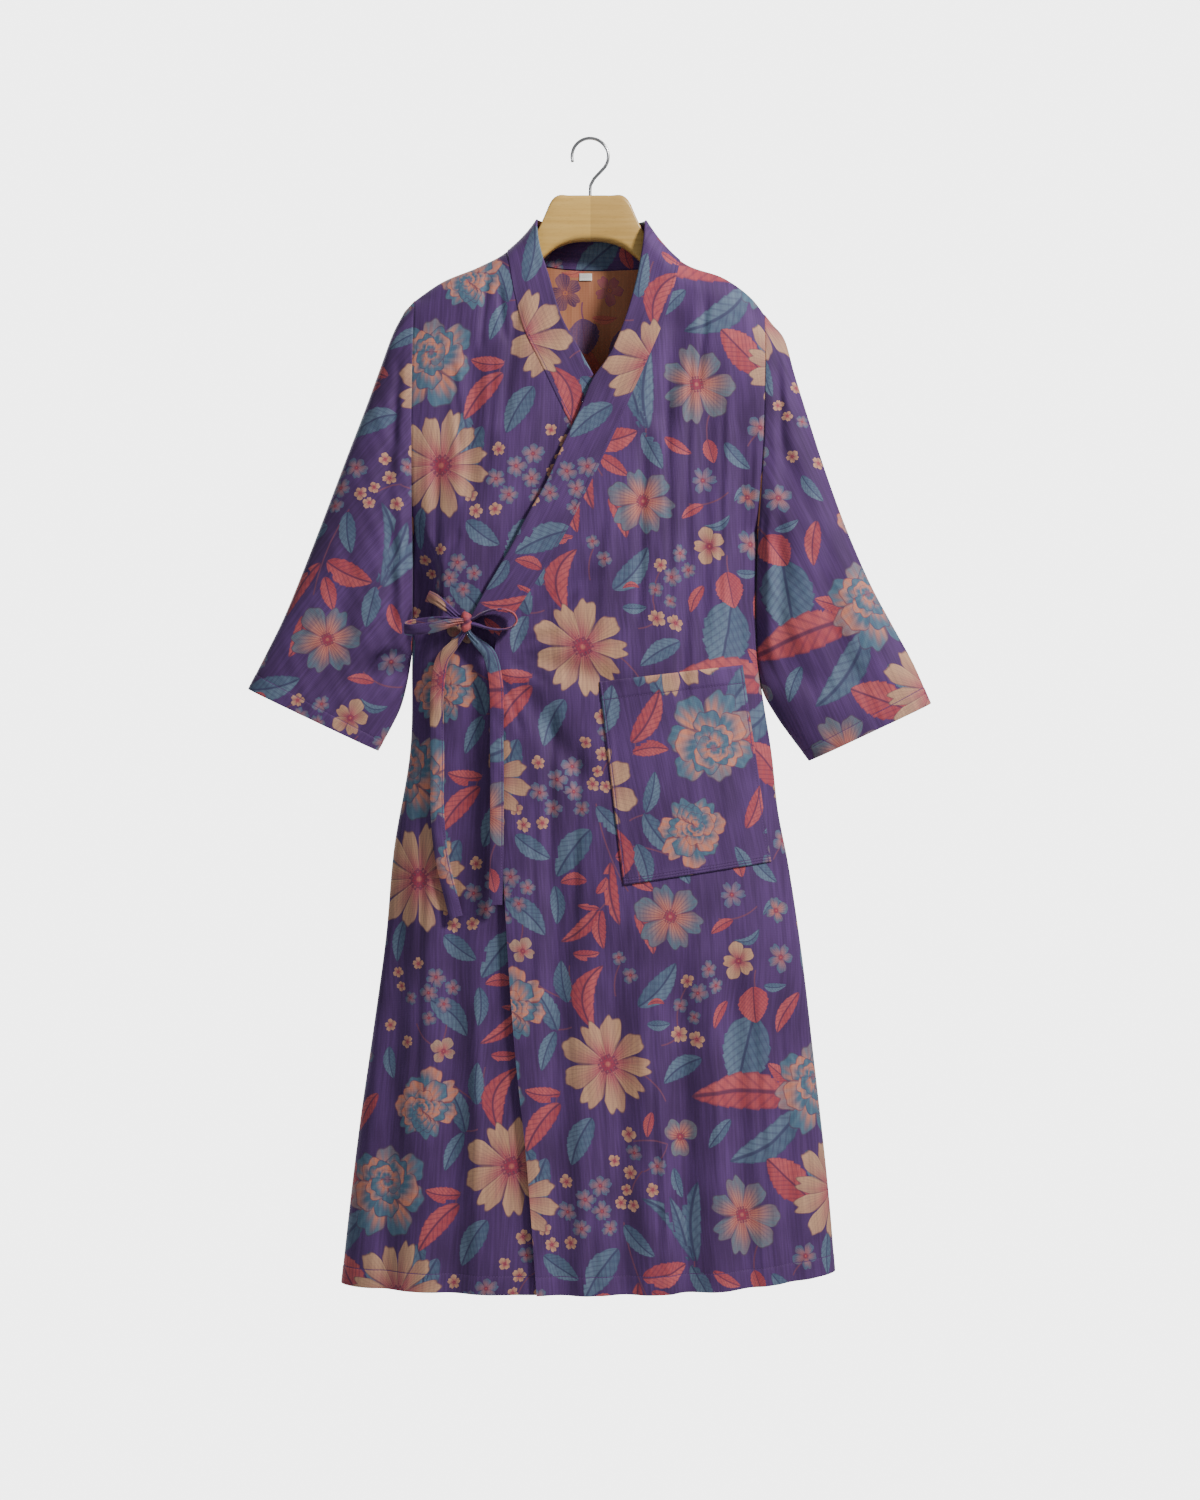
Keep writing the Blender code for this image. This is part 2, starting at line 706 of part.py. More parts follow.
def hanger_rings():
    angle = np.linspace(0, 2 * math.pi, HANGER_SECTION, endpoint=False)
    angle = angle + math.pi / HANGER_SECTION
    power = 2 / HANGER_SQUARENESS
    up = np.sign(np.sin(angle)) * np.abs(np.sin(angle)) ** power
    out = np.sign(np.cos(angle)) * np.abs(np.cos(angle)) ** power
    rings = []
    for x, top, bottom, half in [(-r[0], *r[1:]) for r in HANGER[:0:-1]] + HANGER:
        z = (top + bottom) / 2 + (top - bottom) / 2 * up
        rings.append(np.stack([np.full_like(z, x), out * half, z], axis=-1))
    return np.array(rings)


def wooden_hanger(wood):
    hanger = solid_rings("hanger", hanger_rings(), wood)
    top = HANGER[0][1]
    bpy.ops.mesh.primitive_cylinder_add(
        vertices=16, radius=SHANK_HOLE / 2 * MM, depth=2 * SHANK_DEPTH * MM, location=(0, 0, top * MM)
    )
    drill = bpy.context.active_object
    drill.name = "hanger_drill"
    drill.hide_render = True
    drill.display_type = "WIRE"
    hole = hanger.modifiers.new("Shank hole", "BOOLEAN")
    hole.operation = "DIFFERENCE"
    hole.solver = "EXACT"
    hole.object = drill
    return hanger


def steel_hook(steel):
    """Wire from the blind hole in the wood, out to one side and over."""
    centre_z = -(HOOK_RADIUS - WIRE / 2)
    foot = HANGER[0][1] - SHANK_DEPTH + 0.6
    path = [(0, foot), (0, -66), (0, -56), (0.4, HOOK_BOTTOM), (4.5, -42.5)]
    for degrees in range(-42, 206, 12):
        angle = math.radians(degrees)
        path.append((HOOK_RADIUS * math.cos(angle), centre_z + HOOK_RADIUS * math.sin(angle)))
    curve = bpy.data.curves.new("hook", "CURVE")
    curve.dimensions = "3D"
    curve.bevel_depth = WIRE / 2 * MM
    curve.bevel_resolution = 2
    curve.use_fill_caps = True
    line = curve.splines.new("POLY")
    line.points.add(len(path) - 1)
    for point, (x, z) in zip(line.points, path):
        point.co = (x * MM, 0, z * MM, 1)
    curve.materials.append(steel)
    hook = bpy.data.objects.new("hook", curve)
    bpy.context.scene.collection.objects.link(hook)
    return hook


# The robe on its hanger

for thing in list(bpy.data.objects):
    bpy.data.objects.remove(thing, do_unlink=True)

print_cloth = material("printed_gauze", (0.16, 0.08, 0.27), 0.85)
label_cloth = material("label_tape", (0.86, 0.86, 0.84), 0.7)
wood = material("hanger_wood", (0.62, 0.42, 0.2), 0.45)
steel = material("hook_steel", (0.6, 0.6, 0.6), 0.3, 1.0)

back_panel(print_cloth)
front_panel("left_front", "over", OVER_COLUMNS, 1, print_cloth)
front_panel("right_front", "under", UNDER_COLUMNS, -1, print_cloth)
collar_band(print_cloth)
sleeve("left_sleeve", "right", RIGHT_SLEEVE, print_cloth)
sleeve("right_sleeve", "left", LEFT_SLEEVE, print_cloth)
pocket(print_cloth)
tie_strap(print_cloth)
tie_loop("tie_loop_left", LEFT_LOOP, (0.0, 0.0, 1.0), 34, print_cloth)
tie_loop("tie_loop_right", RIGHT_LOOP, (0.0, 1.0, 0.0), 26, print_cloth)
tie_knot(print_cloth)
tie_end("tie_tail_left", LEFT_TAIL, print_cloth)
tie_end("tie_tail_right", RIGHT_TAIL, print_cloth)
neck_label(label_cloth)
wooden_hanger(wood)
steel_hook(steel)
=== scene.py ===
# Kimono robe of printed cotton gauze, tied at its side and hung on a wooden hanger.
# Everything stands in the frame's own metres. The tables of the cloth are in millimetres, and
# their left and right are the viewer's. The sleeves and fronts are named by the wearer's.

import math

import bpy
import numpy as np
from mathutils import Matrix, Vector


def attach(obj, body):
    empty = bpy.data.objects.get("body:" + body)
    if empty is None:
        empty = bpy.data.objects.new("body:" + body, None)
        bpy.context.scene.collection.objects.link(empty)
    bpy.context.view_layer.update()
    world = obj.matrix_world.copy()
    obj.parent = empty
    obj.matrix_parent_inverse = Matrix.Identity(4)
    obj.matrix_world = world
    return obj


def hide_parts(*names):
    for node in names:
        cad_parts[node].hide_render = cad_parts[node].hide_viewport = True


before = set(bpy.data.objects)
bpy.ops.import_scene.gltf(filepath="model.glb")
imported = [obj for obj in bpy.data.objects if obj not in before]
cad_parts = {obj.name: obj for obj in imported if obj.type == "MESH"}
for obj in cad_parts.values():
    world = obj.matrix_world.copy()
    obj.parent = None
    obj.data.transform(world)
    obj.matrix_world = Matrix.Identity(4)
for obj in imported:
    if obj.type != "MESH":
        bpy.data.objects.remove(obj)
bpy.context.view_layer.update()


# The room: a pale floor well below the hem, soft light from the upper right and the front, and
# the camera that looks level at the middle of the robe.

def feed(tree, made, inputs):
    """Gives a node's inputs their values, or the sockets that they are fed from."""
    for name, value in inputs.items():
        if isinstance(value, bpy.types.NodeSocket):
            tree.links.new(value, made.inputs[name])
        else:
            made.inputs[name].default_value = value


def node(tree, kind, inputs, **settings):
    made = tree.nodes.new("ShaderNode" + kind)
    for name, value in settings.items():
        setattr(made, name, value)
    feed(tree, made, inputs)
    return made


def new_material(name, inputs):
    """A material, its nodes, and its main shader with the given inputs."""
    made = bpy.data.materials.new(name)
    made.use_nodes = True
    shader = made.node_tree.nodes["Principled BSDF"]
    feed(made.node_tree, shader, inputs)
    return made, made.node_tree, shader


bpy.ops.object.select_all(action="DESELECT")
bpy.ops.mesh.primitive_circle_add(vertices=96, radius=1.25, fill_type="NGON", location=(0, 0.1, -2.05))
floor = bpy.context.active_object
floor.name = "floor"
plaster, _, _ = new_material("pale floor", {"Base Color": (0.82, 0.82, 0.82, 1), "Roughness": 0.9})
floor.data.materials.append(plaster)

air = bpy.data.worlds.new("pale room")
air.use_nodes = True
bpy.context.scene.world = air
sky = air.node_tree
behind = sky.nodes["Background"]
feed(sky, behind, {"Color": (1, 1, 1, 1), "Strength": 4.5})
around = node(sky, "Background", {"Color": (0.95, 0.97, 1, 1), "Strength": 0.22})
seen = node(sky, "LightPath", {}).outputs["Is Camera Ray"]
either = node(sky, "MixShader", {0: seen, 1: around.outputs[0], 2: behind.outputs[0]})
feed(sky, sky.nodes["World Output"], {"Surface": either.outputs[0]})


def lamp(name, at, toward, size, watts, tint):
    bpy.ops.object.light_add(type="AREA", location=at)
    light = bpy.context.active_object
    light.name = name
    light.rotation_euler = (Vector(toward) - Vector(at)).to_track_quat("-Z", "Y").to_euler()
    light.data.size = size
    light.data.energy = watts
    light.data.color = tint


lamp("window light", (2.0, -1.6, 1.4), (0, 0, -0.5), 0.5, 134, (1.0, 0.97, 0.93))
lamp("fill light", (-2.2, -2.2, -0.2), (0, 0, -0.7), 1.8, 9, (0.95, 0.97, 1.0))
lamp("back light", (-1.6, 2.3, 0.6), (0, 0, -0.7), 1.2, 80, (1.0, 1.0, 1.0))

bpy.ops.object.camera_add(location=(0.011, -2.8, -0.671), rotation=(math.pi / 2, 0, 0))
camera = bpy.context.active_object
camera.data.lens = 61.1
camera.data.sensor_width = 36
bpy.context.scene.camera = camera


# Hanger: two arms of pale beech, planed to one smooth bow, with a light lacquer, the right arm
# darker by painted shade, as a face turned from the light. It is sawn from a flat board, its edges
# are rounded, and it carries the shoulders.

HANGER = [
    (0, -62, -111, 10), (22, -62, -113, 9.4), (37, -62.6, -119, 8.8), (44, -70, -124, 8.4),
    (50, -84, -129, 8.2), (58, -100, -136, 8), (74, -118, -146, 7.5), (97, -137, -162, 7),
    (125, -148.7, -174, 6.6), (148, -157.2, -184, 6), (162, -166.4, -190, 5), (170, -173, -189, 3.4),
]
HANGER_EDGE = 0.27
PLANED_EDGE = 35
MM = 0.001


def curve_through(table, at, column=1):
    """A smooth curve through the table's rows, read at the places given in its first column."""
    rows = sorted(table)
    x = np.array([row[0] for row in rows], float)
    y = np.array([row[column] for row in rows], float)
    steps = np.diff(y) / np.diff(x)
    slopes = np.concatenate([[steps[0]], (steps[:-1] + steps[1:]) / 2, [steps[-1]]])
    at = np.clip(np.asarray(at, float), x[0], x[-1])
    i = np.clip(np.searchsorted(x, at) - 1, 0, len(x) - 2)
    width = x[i + 1] - x[i]
    t = (at - x[i]) / width
    return (
        y[i] * (1 + 2 * t) * (1 - t) ** 2
        + slopes[i] * width * t * (1 - t) ** 2
        + y[i + 1] * t * t * (3 - 2 * t)
        - slopes[i + 1] * width * t * t * (1 - t)
    )


def begin_solid(name):
    """Opens the shape that was just added for modelling, with its place in its own mesh."""
    made = bpy.context.active_object
    made.name = name
    bpy.ops.object.transform_apply(location=True, rotation=True, scale=True)
    bpy.ops.object.mode_set(mode="EDIT")
    bpy.ops.mesh.select_all(action="SELECT")
    return made


def end_solid():
    """Turns every face outwards and smooths all edges but the sharp ones."""
    bpy.ops.mesh.select_all(action="SELECT")
    bpy.ops.mesh.normals_make_consistent(inside=False)
    bpy.ops.object.mode_set(mode="OBJECT")
    bpy.ops.object.shade_smooth_by_angle(angle=math.radians(PLANED_EDGE))


def sawn_bow(name):
    """A rounded board end pushed from one tip of the hanger to the other."""
    mirrored = [(-row[0], *row[1:]) for row in HANGER[1:]] + HANGER
    places = np.concatenate([np.linspace(-170, -58, 20), np.linspace(-54, 54, 37), np.linspace(58, 170, 20)])
    top, bottom, half = [curve_through(mirrored, places, c) for c in (1, 2, 3)]
    middle, height, depth = (top + bottom) / 2, top - bottom, 2 * half
    centres = [(x * MM, 0, z * MM) for x, z in zip(places, middle)]
    bpy.ops.object.select_all(action="DESELECT")
    bpy.ops.mesh.primitive_plane_add(size=1, location=centres[0], rotation=(0, math.pi / 2, 0))
    board = begin_solid(name)
    bpy.ops.transform.resize(value=(1, depth[0] * MM, height[0] * MM), center_override=centres[0])
    bpy.ops.mesh.bevel(offset=depth[0] * HANGER_EDGE * MM, segments=5, affect="VERTICES")
    for i in range(1, len(places)):
        step = ((places[i] - places[i - 1]) * MM, 0, (middle[i] - middle[i - 1]) * MM)
        bpy.ops.mesh.extrude_region_move(TRANSFORM_OT_translate={"value": step})
        grown = (1, depth[i] / depth[i - 1], height[i] / height[i - 1])
        bpy.ops.transform.resize(value=grown, center_override=centres[i])
    end_solid()
    return board


hanger = sawn_bow("wooden_hanger")


def ramp(tree, amount, low, high):
    """A colour between two, each with the amount at which it is reached."""
    made = node(tree, "ValToRGB", {"Fac": amount})
    for element, (position, colour) in zip(made.color_ramp.elements, (low, high)):
        element.position = position
        element.color = (*colour, 1)
    return made.outputs["Color"]


def mixed(tree, amount, under, over, blend="MIX"):
    made = node(tree, "Mix", {}, data_type="RGBA", blend_type=blend)
    feed(tree, made, {0: amount, 6: under, 7: over})
    return made.outputs[2]


def emboss(tree, shader, height, strength, distance):
    bump = node(tree, "Bump", {"Height": height, "Strength": strength, "Distance": distance})
    feed(tree, shader, {"Normal": bump.outputs[0]})


def lacquered_beech():
    """Straight grain along the board, short dark flecks, and painted shade that darkens the arm to the
    right.
    """
    made, tree, shader = new_material(
        "lacquered beech", {"Roughness": 0.42, "Coat Weight": 0.2, "Coat Roughness": 0.25}
    )
    place = node(tree, "TexCoord", {}).outputs["Object"]
    lean = (0, math.radians(4), 0)
    stretched = node(tree, "Mapping", {"Vector": place, "Rotation": lean, "Scale": (9, 160, 260)})
    lines = node(tree, "TexNoise", {"Vector": stretched.outputs[0], "Scale": 1, "Detail": 4})
    short = node(tree, "Mapping", {"Vector": place, "Scale": (190, 700, 900)})
    flecks = node(tree, "TexNoise", {"Vector": short.outputs[0], "Scale": 1, "Detail": 2})
    bands = ramp(tree, lines.outputs["Fac"], (0.34, (0.74, 0.445, 0.112)), (0.62, (0.84, 0.53, 0.150)))
    dots = ramp(tree, flecks.outputs["Fac"], (0.30, (0.72, 0.66, 0.58)), (0.42, (1, 1, 1)))
    across = node(tree, "SeparateXYZ", {0: place}).outputs["X"]
    # Painted shade: the arm to the right of the middle is darkened, as a face turned from the light.
    shaded_right_arm = node(tree, "Math", {0: across, 1: 0.0006}, operation="GREATER_THAN")
    painted_arm_shade = mixed(tree, shaded_right_arm.outputs[0], (1, 1, 1, 1), (0.80, 0.79, 0.80, 1))
    flecked = mixed(tree, 0.35, bands, dots, "MULTIPLY")
    feed(tree, shader, {"Base Color": mixed(tree, 1, flecked, painted_arm_shade, "MULTIPLY")})
    emboss(tree, shader, lines.outputs["Fac"], 0.25, 0.0004)
    return made


hanger.data.materials.append(lacquered_beech())
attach(hanger, "root")
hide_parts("hanger")


# Hook: bright steel wire, bent to a round hook. Its straight end is pushed into the middle of
# the hanger, and it carries the whole weight.

HOOK_WIRE = 3.6
HOOK_RADIUS = 20
HOOK_PATH = [(0, -75.4), (0, -66), (0, -56), (0.4, -50), (4.5, -42.5)]
HOOK_PATH += [
    (
        HOOK_RADIUS * math.cos(math.radians(turn)),
        -(HOOK_RADIUS - HOOK_WIRE / 2) + HOOK_RADIUS * math.sin(math.radians(turn)),
    )
    for turn in range(-42, 206, 8)
]


def bent_wire(name, path, wire):
    """A round wire end pushed along its path, and turned to face along it at each step."""
    centres = [(x * MM, 0, z * MM) for x, z in path]
    bpy.ops.object.select_all(action="DESELECT")
    bpy.ops.mesh.primitive_circle_add(
        vertices=20, radius=wire / 2 * MM, fill_type="NGON", location=centres[0]
    )
    made = begin_solid(name)
    lean = 0.0
    for i in range(1, len(path)):
        ahead = path[min(i + 1, len(path) - 1)]
        turned = math.atan2(ahead[0] - path[i - 1][0], ahead[1] - path[i - 1][1])
        step = ((path[i][0] - path[i - 1][0]) * MM, 0, (path[i][1] - path[i - 1][1]) * MM)
        bpy.ops.mesh.extrude_region_move(TRANSFORM_OT_translate={"value": step})
        change = (turned - lean + math.pi) % (2 * math.pi) - math.pi
        bpy.ops.transform.rotate(value=-change, orient_axis="Y", center_override=centres[i])
        lean = turned
    bpy.ops.mesh.bevel(offset=wire * 0.2 * MM, segments=3, affect="EDGES")
    end_solid()
    return made


hook = bent_wire("steel_hook", HOOK_PATH, HOOK_WIRE)
steel, tree, shader = new_material("bright steel", {"Metallic": 1, "Base Color": (0.62, 0.63, 0.65, 1)})
place = node(tree, "TexCoord", {}).outputs["Object"]
handled = node(tree, "TexNoise", {"Vector": place, "Scale": 260, "Detail": 3}).outputs["Fac"]
dulled = node(tree, "MapRange", {"Value": handled, "To Min": 0.14, "To Max": 0.42})
feed(tree, shader, {"Roughness": dulled.outputs[0]})
hook.data.materials.append(steel)
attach(hook, "root")
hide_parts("hook")


# Back: one panel of crinkled cotton gauze from the hem to the shoulder seams, hollowed at the
# neck. It hangs from the hanger, its side seams join the fronts, and its hem is turned up.

GAUZE = 1.4
SEAM = 0
SEAM_GROOVE = 0.7
SEAM_GROOVE_WIDTH = 1.6
FOLD_RELIEF = 2.1
CREASE_RELIEF = 3.1
RIGHT_SIDE = [
    (-192, 192), (-304, 191), (-377, 188), (-430, 185), (-567, 184), (-611, 190), (-675, 200),
    (-738, 207), (-795, 218), (-895, 233), (-1007, 246), (-1152, 262), (-1260, 271),
]
LEFT_SIDE = [
    (-177, -193), (-300, -195), (-430, -195), (-571, -196), (-671, -198), (-781, -216),
    (-878, -225), (-975, -238), (-1072, -252), (-1160, -263), (-1260, -274),
]
DEPTHS = [
    (-60, 17, 17), (-130, 20, 19), (-200, 25, 23), (-300, 27, 25), (-430, 32, 30), (-530, 36, 34),
    (-700, 46, 40), (-1000, 61, 50), (-1260, 72, 58),
]
ROUND_BELOW = -660
SQUARE_ABOVE = -450
CHEST_SQUARENESS = 3
SHOULDER_LINE = [
    (-193, -177), (-163, -157), (-120, -139), (-90, -122), (-58, -87), (-44, -58), (0, -40),
    (46, -58), (61, -88), (98, -132), (150, -154), (178, -175), (192, -192),
]
SHOULDER_ROUND = 30
LEFT_NECK_X = -90
RIGHT_NECK_X = 98
ARMHOLES = {"left": (-177, -428), "right": (-192, -430)}
ARMHOLE_DEPTH = 20
FRONT_EDGE = [(-605, 101), (-855, 91), (-1005, 80), (-1104, 69), (-1270, 56)]
WAIST = -550
HEM = [
    (-274, -1256, -1256), (-120, -1257, -1252), (60, -1257, -1250), (160, -1254, -1250),
    (271, -1243, -1243),
]
HEM_REFERENCE = -1257
TOP_SHIFT_FROM = -360
HEM_SHIFT_REACH = 320
HANG_PASSES = 6
SIDE_SEAM_SHARPNESS = 40
NORMAL_TURN = 0.012
NORMAL_RISE = 1.5
ON_RIDGE = 0.05
NEAR_SIDE = 0.97
FAR = 9.0

# Collar band: place, x and z of its seam, x and z of its free edge
BAND_PARTS = [
    ("over", [
        (-101, -550, -129, -525), (-76, -512, -112, -494), (-50, -472, -89, -455), (-28, -435, -67, -413),
        (-10, -399, -47, -378), (8, -362, -33, -345), (28, -320, -12, -302), (43, -286, 2, -268),
        (61, -246, 22, -238), (77, -208, 39, -198), (91, -163, 51, -155), (96, -142, 57, -122),
        (98, -133.5, 60, -98),
    ]),
    ("ridge", [(98, -132, 61, -88)]),
    ("back", [
        (95, -132.5, 59, -88), (86, -135, 54, -88), (70, -138, 44, -88), (36, -140, 24, -87),
        (0, -141, 0, -86), (-34, -139, -23, -86), (-66, -133, -42, -86), (-80, -127, -52, -87),
        (-88, -122.5, -56, -87),
    ]),
    ("ridge", [(-90, -122, -58, -87)]),
    ("under", [
        (-89.6, -125, -58, -96), (-87, -140, -55, -118), (-82, -169, -45, -152), (-70, -214, -30, -200),
        (-52, -250, -12, -232), (-30, -295, 8, -268), (-8, -335, 28, -303), (8, -362, 43, -335),
        (26, -399, 60, -372), (43, -435, 80, -413), (62, -472, 98, -452), (84, -512, 117, -494),
        (101, -550, 129, -525),
    ]),
]
BAND = [(place, *row) for place, rows in BAND_PARTS for row in rows]
BACK_NECK = [row[1:3] for row in BAND if row[0] in ("back", "ridge")]
UNDER_INSET = 6.5
INSET_START = 52
INSET_END = 16

# Long soft folds: x and z of the upper end, x and z of the lower end, half width, depth
FOLDS = {
    "front": [
        (98, -178, 78, -340, 13, 3.0), (132, -230, 118, -600, 15, 3.4), (166, -250, 158, -640, 13, 2.6),
        (-125, -210, -132, -420, 13, 3.0), (-158, -240, -160, -440, 11, 2.0),
        (-95, -548, 15, -470, 11, 2.2), (-92, -566, 40, -600, 13, 2.4), (-88, -585, 5, -720, 13, 2.6),
        (-142, -560, -150, -1400, 19, 5.0), (-205, -760, -228, -1400, 16, 5.0),
        (-36, -690, -30, -1400, 18, 4.4), (26, -850, 40, -1400, 20, 5.5), (92, -860, 112, -1400, 20, 6.5),
        (150, -850, 182, -1400, 17, 5.5), (200, -870, 228, -1400, 14, 4.0),
    ],
    "back": [
        (-120, -190, -95, -640, 17, 3.4), (-40, -170, -28, -560, 16, 2.6), (45, -175, 36, -600, 16, 3.0),
        (118, -200, 100, -700, 17, 3.4), (-150, -420, -175, -1400, 19, 5.5),
        (-78, -600, -92, -1400, 22, 6.5), (4, -520, 0, -1400, 22, 6.0), (82, -640, 96, -1400, 22, 6.5),
        (150, -470, 182, -1400, 19, 5.5),
    ],
}

# Smaller creases, in the same way, that only the cloth has. A negative depth stands out
CREASES = {
    "front": [
        (60, -300, 52, -560, 6, 1.4), (107, -360, 100, -640, 7, 1.5), (168, -330, 166, -600, 6, 1.4),
        (128, -170, 116, -290, 5, 1.1), (-168, -330, -170, -540, 6, 1.4), (-78, -175, -98, -340, 6, 1.3),
        (-100, -158, -92, -230, 4, 1.0), (-112, -150, -120, -240, 4, 1.0), (-40, -610, -46, -860, 6, 1.2),
        (0, -1000, 6, -1300, 6, 1.2), (70, -1000, 92, -1300, 6, -1.2), (172, -900, 204, -1300, 6, 1.2),
        (84, -250, 88, -560, 4, 0.8), (112, -210, 104, -420, 4, 0.9), (146, -260, 140, -560, 4, 0.9),
        (178, -300, 172, -560, 4, 0.9), (24, -400, 12, -560, 5, -0.7), (-60, -535, -10, -500, 4, 1.0),
        (-88, -556, -30, -545, 4, 1.1), (-90, -574, -40, -600, 4, 1.0), (-96, -590, -70, -660, 4, 0.9),
        (-150, -240, -140, -360, 4, 0.8), (-104, -230, -112, -380, 4, 0.8),
        (-160, -470, -140, -430, 4, 1.0), (-12, -640, -18, -900, 5, 0.9), (-60, -700, -64, -1000, 5, 0.8),
        (10, -900, 14, -1200, 5, 0.9), (64, -900, 78, -1250, 5, 0.9), (130, -900, 146, -1200, 5, -0.9),
        (222, -900, 246, -1250, 5, 0.9), (-180, -700, -190, -1100, 5, 0.9),
        (-120, -900, -124, -1250, 6, -0.9),
    ],
    "back": [
        (-100, -300, -88, -700, 5, 0.9), (-10, -260, -6, -520, 5, 0.8), (70, -260, 60, -620, 5, 0.9),
        (150, -230, 140, -420, 5, 0.9), (-160, -230, -150, -420, 5, 0.9),
        (-40, -700, -48, -1200, 6, -0.9), (44, -760, 48, -1200, 6, 0.9), (130, -800, 146, -1200, 6, -0.9),
        (-120, -800, -132, -1220, 6, 0.9), (180, -430, 120, -480, 5, 1.0),
        (-185, -430, -120, -480, 5, 1.0),
    ],
}
FOLD_FADE = 0.22
PINCH_TOP = -410
PINCH_BOTTOM = -590
PINCH_FADE = 70
PINCH_WIDTH = 24
PINCH_EDGE = 11
PINCH_DEPTH = 0.8


def smooth(t):
    t = np.clip(t, 0.0, 1.0)
    return t * t * (3 - 2 * t)


def bell(t):
    return np.exp(-(t**2))


def rounded(t):
    """The rise of a quarter circle, from 0 at 0 to 1 at 1."""
    return np.sqrt(1 - (1 - np.clip(t, 0, 1)) ** 2)


def joined(*parts):
    """Numbers side by side in a last axis, each part spread to the shape of them all."""
    return np.stack(np.broadcast_arrays(*parts), axis=-1)


def half_width(z):
    left = curve_through(LEFT_SIDE, z)
    right = curve_through(RIGHT_SIDE, z)
    return (left + right) / 2, (right - left) / 2


def armhole_depth(x, z):
    """Half the depth of the armhole at a height, 0 above and below it."""
    depth = np.zeros(np.broadcast(x, z).shape)
    for side, (top, bottom) in ARMHOLES.items():
        middle = (top + bottom) / 2
        away = np.abs((z - middle) / (top - middle))
        here = ARMHOLE_DEPTH * np.sqrt(np.clip(1 - away**3, 0, 1))
        depth = np.where((x > 0) == (side == "right"), here, depth)
    return depth


def fold_depth(x, z, face):
    total = np.zeros(np.broadcast(x, z).shape)
    folds = [(row, FOLD_RELIEF) for row in FOLDS[face]] + [(row, CREASE_RELIEF) for row in CREASES[face]]
    for (x0, z0, x1, z1, width, depth), relief in folds:
        length = math.hypot(x1 - x0, z1 - z0)
        ux, uz = (x1 - x0) / length, (z1 - z0) / length
        along = ((x - x0) * ux + (z - z0) * uz) / length
        across = (x - x0) * uz - (z - z0) * ux
        ends = smooth(along / FOLD_FADE) * smooth((1 - along) / FOLD_FADE)
        total = total + depth * relief * ends * bell(across / width)
    return total


def crinkle(x, z):
    """The small lengthwise ripples that the gauze is woven to have."""
    slow = np.sin(z / 53 + 1.2) + 0.6 * np.sin(z / 31 + x / 90)
    return (
        0.20 * np.sin(x / 2.9 + 1.1 * slow)
        + 0.16 * np.sin(x / 4.7 - 0.8 * slow + 2)
        + 0.12 * np.sin(x / 8.3 + z / 60 + 0.7)
        + 0.07 * np.sin(z / 5.3 + np.sin(x / 17))
    )


def pinch(x, z, left):
    tall = smooth((PINCH_TOP - z) / PINCH_FADE) * smooth((z - PINCH_BOTTOM) / PINCH_FADE)
    wide = 1 - smooth((x - left - PINCH_WIDTH * tall) / PINCH_EDGE)
    return PINCH_DEPTH * tall * wide


def band_edge(place, column):
    return [(row[column + 1], row[column]) for row in BAND if row[0] == place]


def inner_edge(place):
    """Where a front ends: down its collar seam, then down its own edge."""
    sign = -1 if place == "over" else 1
    return band_edge(place, 1) + [(z, sign * x) for z, x in FRONT_EDGE]


def under_inset(x, z):
    covered = band_edge("over", 3) + [(WAIST, -103)] + [(z, -x) for z, x in FRONT_EDGE]
    away = curve_through(covered, z) - x
    return UNDER_INSET * smooth((INSET_START - away) / (INSET_START - INSET_END))


def body(phi, z, place, groove=SEAM_GROOVE):
    """A point of the robe's outside. phi turns from -90 degrees at the left side to 90, and its
    seams are drawn in by the groove's depth."""
    middle, half = half_width(z)
    x = middle + half * np.sin(phi)
    face = "back" if place == "back" else "front"
    depth = curve_through(DEPTHS, z, 2 if face == "back" else 1)
    round_over = rounded((curve_through(SHOULDER_LINE, x) - z) / SHOULDER_ROUND)
    armhole = armhole_depth(x, z)
    squareness = 2 + CHEST_SQUARENESS * smooth((z - ROUND_BELOW) / (SQUARE_ABOVE - ROUND_BELOW))
    toward_side = np.abs(np.sin(phi)) ** squareness
    out = np.sqrt((depth * round_over) ** 2 * (1 - toward_side) + armhole**2 * toward_side)
    flat = np.sqrt(np.abs(np.cos(phi))) * round_over
    out = out - fold_depth(x, z, face) * flat
    if face == "front":
        out = out * (1 - pinch(x, z, middle - half))
    if place == "under":
        out = out - under_inset(x, z)
    out = out + crinkle(x, z) * flat
    out = np.maximum(out, 0)
    from_edge = half * (1 - np.abs(np.sin(phi)))
    at_armhole = bell(from_edge / SEAM_GROOVE_WIDTH) * (armhole > 1)
    out = out - groove * at_armhole
    at_side = bell(out / SEAM_GROOVE_WIDTH) * np.abs(np.sin(phi)) ** SIDE_SEAM_SHARPNESS
    x = x - np.sign(x) * groove * at_side
    y = out if face == "back" else -out
    return joined(x, y, z)


def turn_at(x, z):
    middle, half = half_width(z)
    return np.arcsin(np.clip((x - middle) / half, -1, 1))


def body_normal(phi, z, place):
    """Outward direction of the robe's outside."""
    ahead = body(np.minimum(phi + NORMAL_TURN, math.pi / 2), z, place)
    behind = body(np.maximum(phi - NORMAL_TURN, -math.pi / 2), z, place)
    above = body(phi, z + NORMAL_RISE, place)
    below = body(phi, z - NORMAL_RISE, place)
    normal = np.cross(ahead - behind, above - below)
    if place == "back":
        normal = -normal
    point = body(phi, z, place)
    on_ridge = curve_through(SHOULDER_LINE, point[..., 0]) - point[..., 2] < ON_RIDGE
    normal[..., 1] = np.where(on_ridge, 0, normal[..., 1])
    return normal / np.linalg.norm(normal, axis=-1, keepdims=True)


def keep_side(points, side):
    """Holds points on their own side of the plane of the seams, or in it where side is 0."""
    points[..., 1] = side * np.maximum(side * points[..., 1], SEAM)


